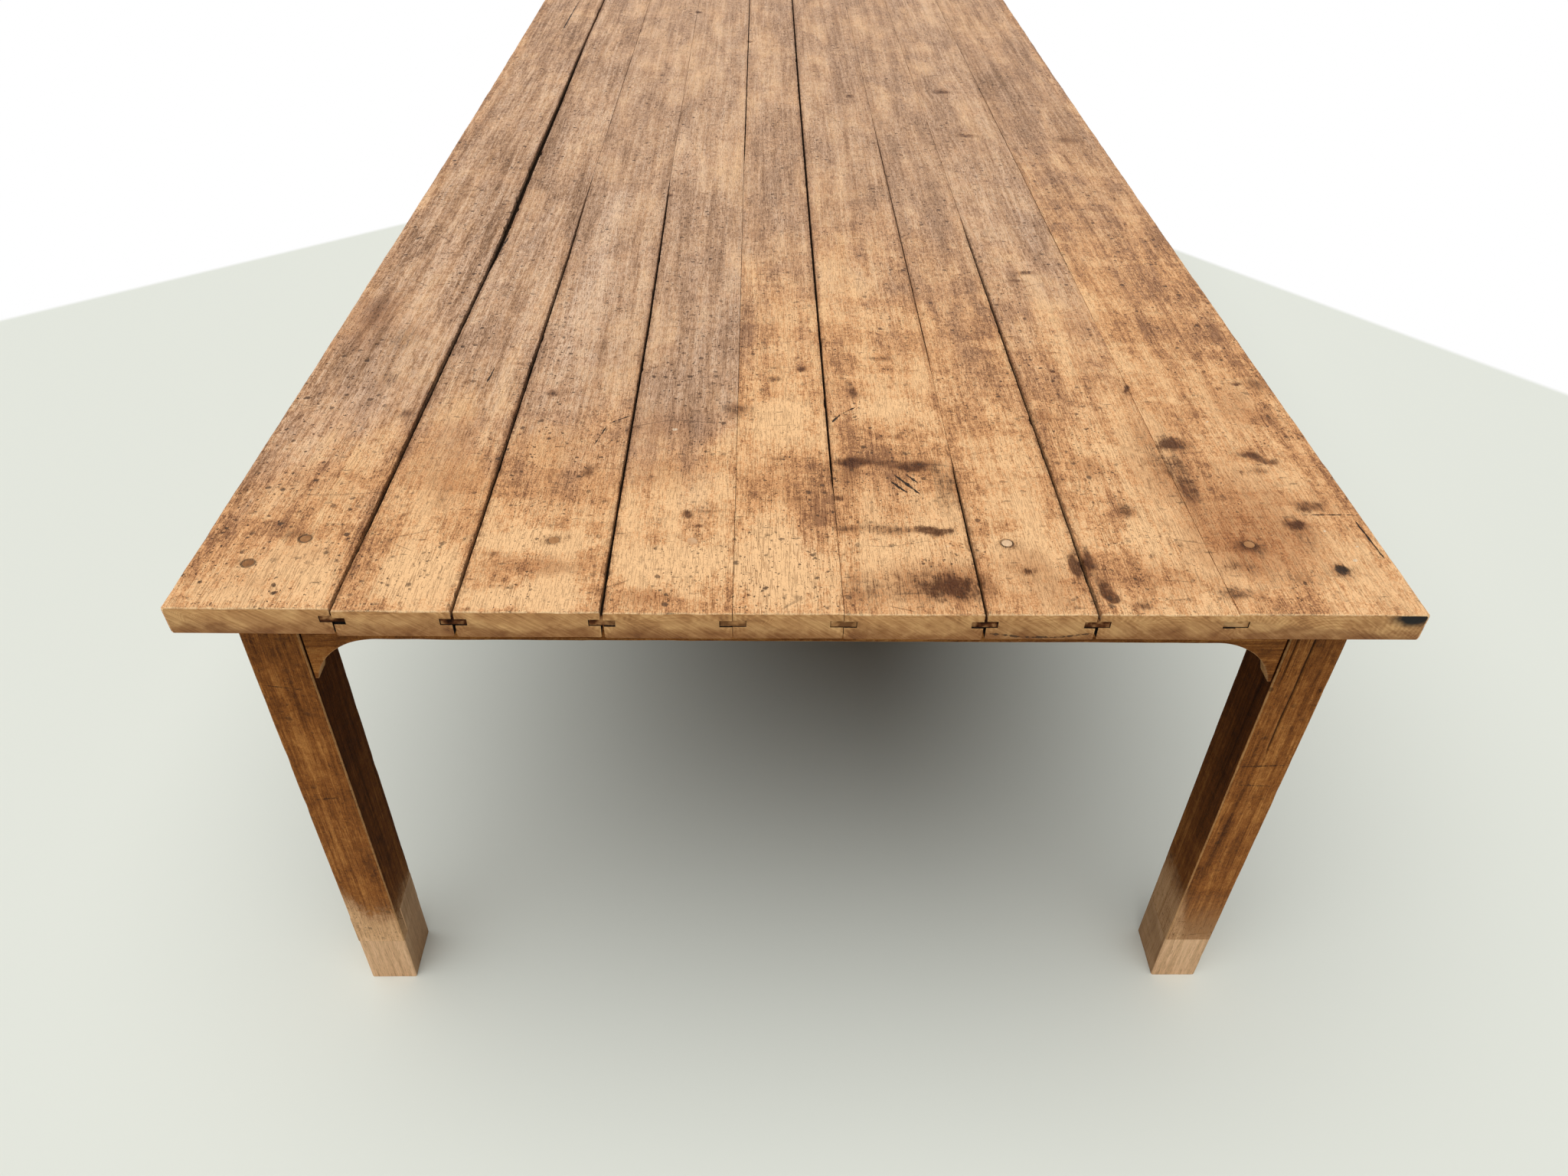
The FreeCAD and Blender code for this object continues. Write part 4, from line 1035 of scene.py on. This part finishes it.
def worn_top_oak():
    """The aged face of the top: honey near the front, browner and greyer beyond, partly painted sheen, with
    stains, pits, cracks, peg rings.
    """
    material, tree, surface = new_material("worn_top_oak_face")
    place = place_of(tree)
    grain = own_grain(tree)
    wear = wear_at(tree, place)
    mottle = wear["Mottle"]
    light = attribute(tree, "light")
    rough = attribute(tree, "rough")
    hidden_shade = attribute(tree, "hidden_shade")
    old_tone = weighted(tree, [(grain["Band"], 0.6), (grain["Line"], 0.7), (grain["Fibre"], 0.6),
                               (wear["Grit"], 0.45), (mottle, 0.7), (wear["Cloud"], 0.5),
                               (light, 0.32)], -1.275)
    honey_tone = weighted(tree, [(grain["Band"], 0.6), (grain["Line"], 0.5), (grain["Fibre"], 0.5),
                                 (grain["Rub"], 0.13), (wear["Grit"], 0.7), (mottle, 0.8),
                                 (wear["Cloud"], 1.0), (light, 0.32)], -1.6)
    # Painted sheen: beyond the honey part the patina colours are paler and greyer
    old_and_sheen = ramp(tree, spread(tree, old_tone, calc(tree, "MULTIPLY_ADD", rough, 0.9, 0.95)), OLD_PATINA_AND_SHEEN_STOPS)
    honey = ramp(tree, spread(tree, honey_tone, 1.65), HONEY_STOPS)
    near = weighted(tree, [(attribute(tree, "honey"), 1.0), (wear["Cloud"], 1.1),
                           (grain["Band"], 0.4)], -0.75)
    glow = step(tree, near, -0.1, 1.0)
    colour = mix(tree, glow, old_and_sheen, honey)
    brown = weighted(tree, [(attribute(tree, "brown"), 1.0), (wear["Cloud"], 0.7), (grain["Line"], 0.6),
                            (grain["Fibre"], 0.7), (mottle, 1.0)], -1.5)
    browned = step(tree, brown, 0.05, 0.85)
    colour = mix(tree, times(tree, browned, 0.75), colour, BROWN_TINT, "MULTIPLY")
    pale = step(tree, weighted(tree, [(attribute(tree, "pale"), 1.0), (mottle, 0.7)], -0.35), 0.35, 0.6)
    colour = mix(tree, times(tree, pale, 0.7), colour, PALE_WOOD)
    black = node(tree, "ShaderNodeClamp", {0: attribute(tree, "black")}).outputs[0]
    halo = times(tree, black, step(tree, mottle, 0.3, 0.7, 0.25, 0.85))
    colour = mix(tree, halo, colour, HALO_TINT, "MULTIPLY")
    soaked = weighted(tree, [(black, 1.0), (mottle, 1.4), (grain["Fibre"], 1.5), (grain["Line"], 0.8),
                             (wear["Grit"], 0.9)], -2.3)
    blackened = step(tree, soaked, 0.22, 1.0)
    colour = mix(tree, times(tree, blackened, 0.9), colour, BLACK_TINT, "MULTIPLY")
    grimy = times(tree, attribute(tree, "seam"), step(tree, mottle, 0.38, 0.62))
    colour = mix(tree, times(tree, grimy, 0.85), colour, GRIME_TINT, "MULTIPLY")
    porous = times(tree, grain["Pore"], step(tree, wear["Cloud"], 0.35, 0.6, 0.6, 0.2))
    colour = mix(tree, porous, colour, TOP_PORE_TINT, "MULTIPLY")
    marks = largest(tree, times(tree, wear["Pit"], calc(tree, "MULTIPLY_ADD", rough, 0.15, 0.8)),
                    times(tree, wear["Nick"], 0.5), times(tree, wear["Scratch"], 0.4))
    colour = mix(tree, marks, colour, PIT_BROWN)
    # Paler worn wood and painted highlight along the arris of the board ends
    arris = times(tree, attribute(tree, "arris"), step(tree, mottle, 0.3, 0.6, 0.1, 0.75))
    colour = mix(tree, arris, colour, WORN_ARRIS_AND_HIGHLIGHT)
    rings = [0.0]
    for centre, strength in zip(PEG_PLACES, PEG_RINGS):
        ring = use_group(tree, PEG_RING, {"Place": place, "Centre": (*centre, 0.0)})
        rings.append(times(tree, ring["Ring"], strength))
    ringed = times(tree, largest(tree, *rings), step(tree, mottle, 0.25, 0.6, 0.45, 1.0))
    open_wood = largest(tree, cracks_at(tree, place, CRACKS), ringed)
    colour = mix(tree, open_wood, colour, OPEN_GAP)
    # Painted shade: near black on the sides in the joints, darker on the underside
    colour = mix(tree, hidden_shade, colour, PAINTED_SHADE_BLACK)
    roughness = weighted(tree, [(mottle, 0.25), (glow, -0.05), (hidden_shade, 0.4)], 0.45)
    height = weighted(tree, [(grain["Line"], 0.4), (grain["Fibre"], 0.5), (grain["Pore"], -0.35),
                             (mottle, 1.3), (wear["Grit"], 0.5), (wear["Pit"], -1.0), (wear["Nick"], -0.8),
                             (wear["Scratch"], -0.4), (open_wood, -1.6)])
    dress(tree, surface, colour, roughness, 0.1, height, 1.0, 0.0017)
    return material


def board_end_oak():
    """Sawn ends of the boards: tan brown end grain with saw strokes, darker at the burnt corner."""
    material, tree, surface = new_material("worn_top_oak_end")
    place = place_of(tree)
    spot = parts_of(tree, place)
    sawn = use_group(tree, END_GRAIN, {"Grain": attribute(tree, "grain", "Vector"), "Place": place})
    tone = weighted(tree, [(sawn["Ring"], 0.14), (sawn["Saw"], 0.7), (sawn["Cloud"], 1.0)], -0.33)
    colour = ramp(tree, tone, END_STOPS)
    low_down = calc(tree, "MULTIPLY_ADD", sawn["Cloud"], 0.03, spot[2])
    grubby = step(tree, low_down, UNDER + 0.016, UNDER + 0.034, 1.0, 0.0)
    colour = mix(tree, times(tree, grubby, 0.8), colour, LOWER_END_TINT, "MULTIPLY")
    near_end = step(tree, spot[1], -1.0, 0.0, 0.85, 0.0)
    gaps = cracks_at(tree, elevation(tree, spot), END_CRACKS)
    colour = mix(tree, times(tree, gaps, near_end), colour, END_GAP)
    squeeze = (1.0, 1.0, BURNT_SQUEEZE)
    squeezed = vector_calc(tree, "MULTIPLY", place, squeeze).outputs[0]
    middle = tuple(part * scale for part, scale in zip(BURNT_CORNER, squeeze))
    burn = vector_calc(tree, "DISTANCE", squeezed, middle).outputs["Value"]
    burnt = step(tree, calc(tree, "MULTIPLY_ADD", sawn["Cloud"], 0.02, burn), 0.022, 0.040, 1.0, 0.0)
    colour = mix(tree, burnt, colour, BURNT_BLACK)
    roughness = weighted(tree, [(sawn["Cloud"], 0.2)], 0.5)
    height = weighted(tree, [(sawn["Saw"], 1.0), (sawn["Ring"], 0.2)])
    dress(tree, surface, colour, roughness, 0.2, height, 0.45, 0.0008)
    return material


def old_frame_oak():
    """Old legs and aprons: deep orange brown, with painted shade on the faces turned in, paler at worn
    arrises, bared low on the legs.
    """
    material, tree, surface = new_material("old_frame_oak_face")
    place = place_of(tree)
    spot = parts_of(tree, place)
    grain = own_grain(tree)
    wear = wear_at(tree, place)
    tone = weighted(tree, [(grain["Band"], 0.8), (grain["Line"], 0.8), (grain["Fibre"], 0.6),
                           (wear["Mottle"], 0.6), (wear["Grit"], 0.4), (wear["Cloud"], 0.6)], -1.42)
    colour = ramp(tree, tone, FRAME_STOPS)
    right_side = step(tree, spot[0], -0.1, 0.1)
    sanded = step(tree, calc(tree, "MULTIPLY_ADD", wear["Cloud"], 0.09, spot[2]), 0.15, 0.26, 1.0, 0.0)
    sanded = times(tree, sanded, calc(tree, "MULTIPLY_ADD", right_side, 0.4, 0.45))
    colour = mix(tree, sanded, colour, SANDED_LEG)
    left_line = step(tree, spot[0], -0.611, -0.580, 0.198, 0.150)
    right_line = step(tree, spot[0], 0.546, 0.574, 0.19, 0.092)
    apart = calc(tree, "SUBTRACT", right_line, left_line)
    bare_line = calc(tree, "MULTIPLY_ADD", apart, right_side, left_line)
    above = weighted(tree, [(spot[2], 1.0), (bare_line, -1.0), (wear["Mottle"], 0.09),
                            (wear["Cloud"], 0.03)], -0.06)
    bare = step(tree, above, -0.035, 0.03, 0.92, 0.0)
    bare = times(tree, bare, calc(tree, "MULTIPLY_ADD", right_side, -0.36, 1.0))
    colour = mix(tree, bare, colour, ramp(tree, tone, BARE_STOPS))
    # Painted shade on the faces turned in under the table, strongest high up and weaker where the wood is
    # bared
    turned_in = weighted(tree, [(attribute(tree, "inner"), 0.9), (wear["Cloud"], 0.7)], -0.35)
    inner = step(tree, turned_in, 0.1, 0.8)
    high_up = step(tree, spot[2], 0.10, 0.62, 0.45, 0.95)
    covered = calc(tree, "MULTIPLY_ADD", bare, -0.5, 1.0)
    colour = mix(tree, times(tree, inner, times(tree, high_up, covered)), colour, LEG_SHADE_TINT, "MULTIPLY")
    at_edge = weighted(tree, [(attribute(tree, "edge"), 0.7), (wear["Mottle"], 0.8)], -0.5)
    rubbed = step(tree, at_edge, 0.2, 0.7)
    colour = mix(tree, times(tree, rubbed, 0.65), colour, RUBBED_EDGE)
    colour = mix(tree, times(tree, grain["Pore"], 0.45), colour, FRAME_PORE_TINT, "MULTIPLY")
    marks = largest(tree, times(tree, wear["Pit"], 0.5), times(tree, wear["Scratch"], 0.5),
                    attribute(tree, "crack"))
    colour = mix(tree, marks, colour, MARK_BLACK)
    on_front = step(tree, spot[1], -1.432, -1.428, 0.8, 0.0)
    scored = times(tree, cracks_at(tree, elevation(tree, spot), LEG_MARKS), on_front)
    colour = mix(tree, scored, colour, MARK_BLACK)
    roughness = weighted(tree, [(wear["Mottle"], 0.25), (inner, 0.3)], 0.4)
    height = weighted(tree, [(grain["Line"], 0.5), (grain["Fibre"], 0.4), (grain["Pore"], -0.4),
                             (wear["Mottle"], 0.6), (wear["Pit"], -0.6)])
    dress(tree, surface, colour, roughness, 0.05, height, 0.5, 0.0010)
    return material


def new_foot_oak():
    """The newer feet: pale oak with open grain, with painted shade on the sides that face in."""
    material, tree, surface = new_material("new_foot_oak_face")
    grain = own_grain(tree)
    wear = wear_at(tree, place_of(tree))
    tone = weighted(tree, [(grain["Band"], 0.8), (grain["Line"], 0.7), (grain["Fibre"], 0.5),
                           (wear["Mottle"], 0.3)], -0.65)
    colour = ramp(tree, tone, FOOT_STOPS)
    colour = mix(tree, times(tree, grain["Pore"], 0.5), colour, FOOT_PORE_TINT, "MULTIPLY")
    # Painted shade on the sides that face in
    inner = times(tree, attribute(tree, "inner"), step(tree, wear["Cloud"], 0.3, 0.6, 0.95, 0.65))
    colour = mix(tree, inner, colour, FOOT_SHADE_TINT, "MULTIPLY")
    roughness = weighted(tree, [(wear["Mottle"], 0.2)], 0.5)
    height = weighted(tree, [(grain["Line"], 0.5), (grain["Fibre"], 0.4), (grain["Pore"], -0.4)])
    dress(tree, surface, colour, roughness, 0.2, height, 0.4, 0.0008)
    return material


def inside_oak(name, turn, stops):
    """Oak whose grain runs along one axis of the object, for bearers and tenons."""
    material, tree, surface = new_material(name)
    place = place_of(tree)
    turned = node(tree, "ShaderNodeMapping", {"Vector": place, "Rotation": turn}).outputs[0]
    grain = use_group(tree, OAK_GRAIN, {"Grain": turned})
    wear = wear_at(tree, place)
    tone = weighted(tree, [(grain["Band"], 0.7), (grain["Line"], 0.7), (grain["Fibre"], 0.4),
                           (wear["Mottle"], 0.5)], -0.65)
    roughness = weighted(tree, [(wear["Mottle"], 0.2)], 0.5)
    height = weighted(tree, [(grain["Line"], 0.6), (grain["Fibre"], 0.4)])
    dress(tree, surface, ramp(tree, tone, stops), roughness, 0.5, height, 0.4, 0.0008)
    return material


def tongue_split_oak(name, stops):
    """Tongues: nearly black inside the joints as painted shade, oak coloured at their two sawn ends."""
    material, tree, surface = new_material(name)
    place = place_of(tree)
    wear = wear_at(tree, place)
    ends = step(tree, calc(tree, "ABSOLUTE", parts_of(tree, place)[1]), 1.4895, 1.4930)
    patches = cloud(tree, place, (75.0, 75.0, 75.0), 1.0)
    clean = ramp(tree, weighted(tree, [(wear["Mottle"], 0.9), (patches, 2.4)], -1.15), stops)
    roughness = weighted(tree, [(wear["Mottle"], 0.2)], 0.6)
    # Painted shade: near black along the tongue inside the joints, oak colour only at the two sawn ends
    dress(tree, surface, mix(tree, ends, OPEN_GAP, clean), roughness, 0.0, wear["Mottle"], 0.4, 0.0008)
    return material


def peg_top_oak():
    """Pegs: from nearly black, painted shade in the sunk peg's hole, through brown to pale oak by the peg's
    own tint, mottled.
    """
    material, tree, surface = new_material("peg_oak_split")
    wear = wear_at(tree, place_of(tree))
    tone = weighted(tree, [(attribute(tree, "tint"), 1.0), (wear["Mottle"], 0.7)], -0.35)
    roughness = weighted(tree, [(wear["Mottle"], 0.2)], 0.5)
    dress(tree, surface, ramp(tree, tone, PEG_STOPS), roughness, 0.2, wear["Mottle"], 0.6, 0.0008)
    return material


def nail_iron():
    """Forged iron: dark, rough, with rust in patches."""
    material, tree, surface = new_material("nail_iron_forged")
    wear = wear_at(tree, place_of(tree))
    rust = step(tree, wear["Mottle"], 0.42, 0.62)
    wire(tree, surface.inputs["Metallic"], step(tree, wear["Mottle"], 0.4, 0.6, 0.9, 0.2))
    roughness = weighted(tree, [(rust, 0.35)], 0.5)
    dress(tree, surface, mix(tree, rust, IRON_GREY, RUST), roughness, 0.5, wear["Mottle"], 0.5, 0.0006)
    return material


# Pieces and finishes

ALONG_X = (0.0, 0.0, math.pi / 2)
UPRIGHT = (math.pi / 2, 0.0, 0.0)

top_oak = worn_top_oak()
end_oak = board_end_oak()
frame_oak = old_frame_oak()
foot_oak = new_foot_oak()
dark_tongue = tongue_split_oak("tongue_oak_dark", DARK_TONGUE_STOPS)
tan_tongue = tongue_split_oak("tongue_oak_tan", TAN_TONGUE_STOPS)
bearer_oak = inside_oak("bearer_oak_sawn", ALONG_X, BEARER_STOPS)
peg_oak = peg_top_oak()
tenon_oak = inside_oak("tenon_oak_split", UPRIGHT, TENON_STOPS)
iron = nail_iron()

for number in range(1, BOARD_COUNT + 1):
    board(number, [top_oak, end_oak])

# Drying cracks in the near right leg, and the lap of the near left leg over its foot, in metres
RIGHT_CHECKS = ((0.555, 0.590, 0.736, 0.0009), (0.575, 0.470, 0.736, 0.0012))
LAP_TOP = 0.147
CHEEK = 0.017
for index, corner in enumerate(("near_left", "near_right", "far_left", "far_right")):
    leg_low, leg_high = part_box("leg_" + corner)
    lapped = corner == "near_left"
    leg_lap = (LAP_TOP, 0.0, CHEEK) if lapped else None
    foot_lap = (leg_low.z, CHEEK, leg_high.y - leg_low.y) if lapped else None
    checks = RIGHT_CHECKS if corner == "near_right" else ()
    post("post_" + corner, "leg_" + corner, [frame_oak, frame_oak],
         601 + 10 * index, checks, leg_lap)
    post("sole_" + corner, "foot_" + corner, [foot_oak, foot_oak],
         701 + 10 * index, (), foot_lap)

RAILS = (("rail_near", "end_apron_near", 0), ("rail_far", "end_apron_far", 0),
         ("rail_left", "side_apron_left", 1), ("rail_right", "side_apron_right", 1))
for index, (name, cad_name, axis) in enumerate(RAILS):
    apron(name, cad_name, axis, [frame_oak], 811 + 10 * index)
pegs("peg_row", "top_pegs", peg_oak)

# Tongues whose sawn ends are dark: partly darker reddish wood and partly painted shade of the hollow groove
DARK_TONGUES = (1, 2, 3, 6, 7)
FINISHES = {"end_bearer": bearer_oak, "mid_bearer": bearer_oak, "foot_tenons": tenon_oak,
            "bearer_nails": iron, "cleat_nails": iron}
for number in range(1, BOARD_COUNT):
    FINISHES["tongue_%d" % number] = dark_tongue if number in DARK_TONGUES else tan_tongue
for name, cad_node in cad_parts.items():
    for start, finish in FINISHES.items():
        if name.startswith(start):
            cad_node.data.materials.clear()
            cad_node.data.materials.append(finish)

# Floor: pale grey that turns to white past two straight lines, each a direction and a distance in metres

WHITE_LINES = ((-0.614, 0.789, 1.883), (0.762, 0.647, 1.852))
FLOOR_GREY = rgb(0.735, 0.757, 0.69)
FLOOR_HALF_SIDE = 14.0
WHITE = rgb(1.0, 1.0, 1.0)


def pale_floor():
    """A large square floor: plain pale grey that turns to white past two straight lines, clear from below."""
    material, tree, surface = new_material("pale_floor")
    place = place_of(tree)
    past = []
    for across, along, reach in WHITE_LINES:
        along_line = vector_calc(tree, "DOT_PRODUCT", place, (across, along, 0.0)).outputs["Value"]
        past.append(calc(tree, "SUBTRACT", along_line, reach))
    fade = step(tree, largest(tree, *past), -0.01, 0.02)
    surface.inputs["Base Color"].default_value = FLOOR_GREY
    surface.inputs["Roughness"].default_value = 0.8
    surface.inputs["Specular IOR Level"].default_value = 0.15
    white = node(tree, "ShaderNodeEmission", {"Color": WHITE, "Strength": 1.0})
    whitened = times(tree, fade, shown_directly(tree))
    both = node(tree, "ShaderNodeMixShader", {0: whitened, 1: surface.outputs[0], 2: white.outputs[0]})
    from_camera = node(tree, "ShaderNodeLightPath").outputs["Is Camera Ray"]
    from_below = times(tree, node(tree, "ShaderNodeNewGeometry").outputs["Backfacing"], from_camera)
    clear = node(tree, "ShaderNodeBsdfTransparent")
    open_below = node(tree, "ShaderNodeMixShader", {0: from_below, 1: both.outputs[0], 2: clear.outputs[0]})
    wire(tree, tree.nodes["Material Output"].inputs["Surface"], open_below.outputs[0])
    side = FLOOR_HALF_SIDE
    corners = [(-side, -side, 0.0), (side, -side, 0.0), (side, side, 0.0), (-side, side, 0.0)]
    mesh = bpy.data.meshes.new("floor")
    mesh.from_pydata(corners, [], [(0, 1, 2, 3)])
    mesh.materials.append(material)
    floor = bpy.data.objects.new("floor", mesh)
    bpy.context.scene.collection.objects.link(floor)


pale_floor()

# Light: white all round to the camera, weak light from all sides, one broad soft lamp from above the near end

AMBIENT = 0.025
LAMP_SPREAD = math.radians(80)
LAMP_STRENGTH = 3.3
LAMP_TURN = (math.radians(13), math.radians(-8), 0.0)

world = bpy.data.worlds.new("studio")
bpy.context.scene.world = world
world.use_nodes = True
sky = world.node_tree
background = sky.nodes["Background"]
background.inputs["Color"].default_value = WHITE
strength = calc(sky, "MULTIPLY_ADD", shown_directly(sky), 1.0 - AMBIENT, AMBIENT)
wire(sky, background.inputs["Strength"], strength)

lamp = bpy.data.lights.new("overhead", "SUN")
lamp.angle = LAMP_SPREAD
lamp.energy = LAMP_STRENGTH
lamp_object = bpy.data.objects.new("overhead", lamp)
lamp_object.location = (0.0, -1.5, 3.0)
lamp_object.rotation_euler = LAMP_TURN
bpy.context.scene.collection.objects.link(lamp_object)

# Camera: place and turn found from the photograph's edges

PITCH = math.radians(39.65)
YAW = math.radians(1.72)
ROLL = math.radians(1.42)
CAMERA_PLACE = (-0.0458, -2.3449, 1.5043)
LENS = 25.653
forward = Vector((math.sin(YAW) * math.cos(PITCH), math.cos(YAW) * math.cos(PITCH), -math.sin(PITCH)))
level = Vector((math.cos(YAW), -math.sin(YAW), 0.0))
upright = level.cross(forward)
right = math.cos(ROLL) * level + math.sin(ROLL) * upright
up = -math.sin(ROLL) * level + math.cos(ROLL) * upright
camera = bpy.data.cameras.new("camera")
camera.sensor_width = 36.0
camera.sensor_fit = "HORIZONTAL"
camera.lens = LENS
camera_object = bpy.data.objects.new("camera", camera)
turn = Matrix((right, up, -forward)).transposed().to_4x4()
camera_object.matrix_world = Matrix.Translation(CAMERA_PLACE) @ turn
bpy.context.scene.collection.objects.link(camera_object)
bpy.context.scene.camera = camera_object
bpy.context.scene.view_settings.view_transform = "Standard"
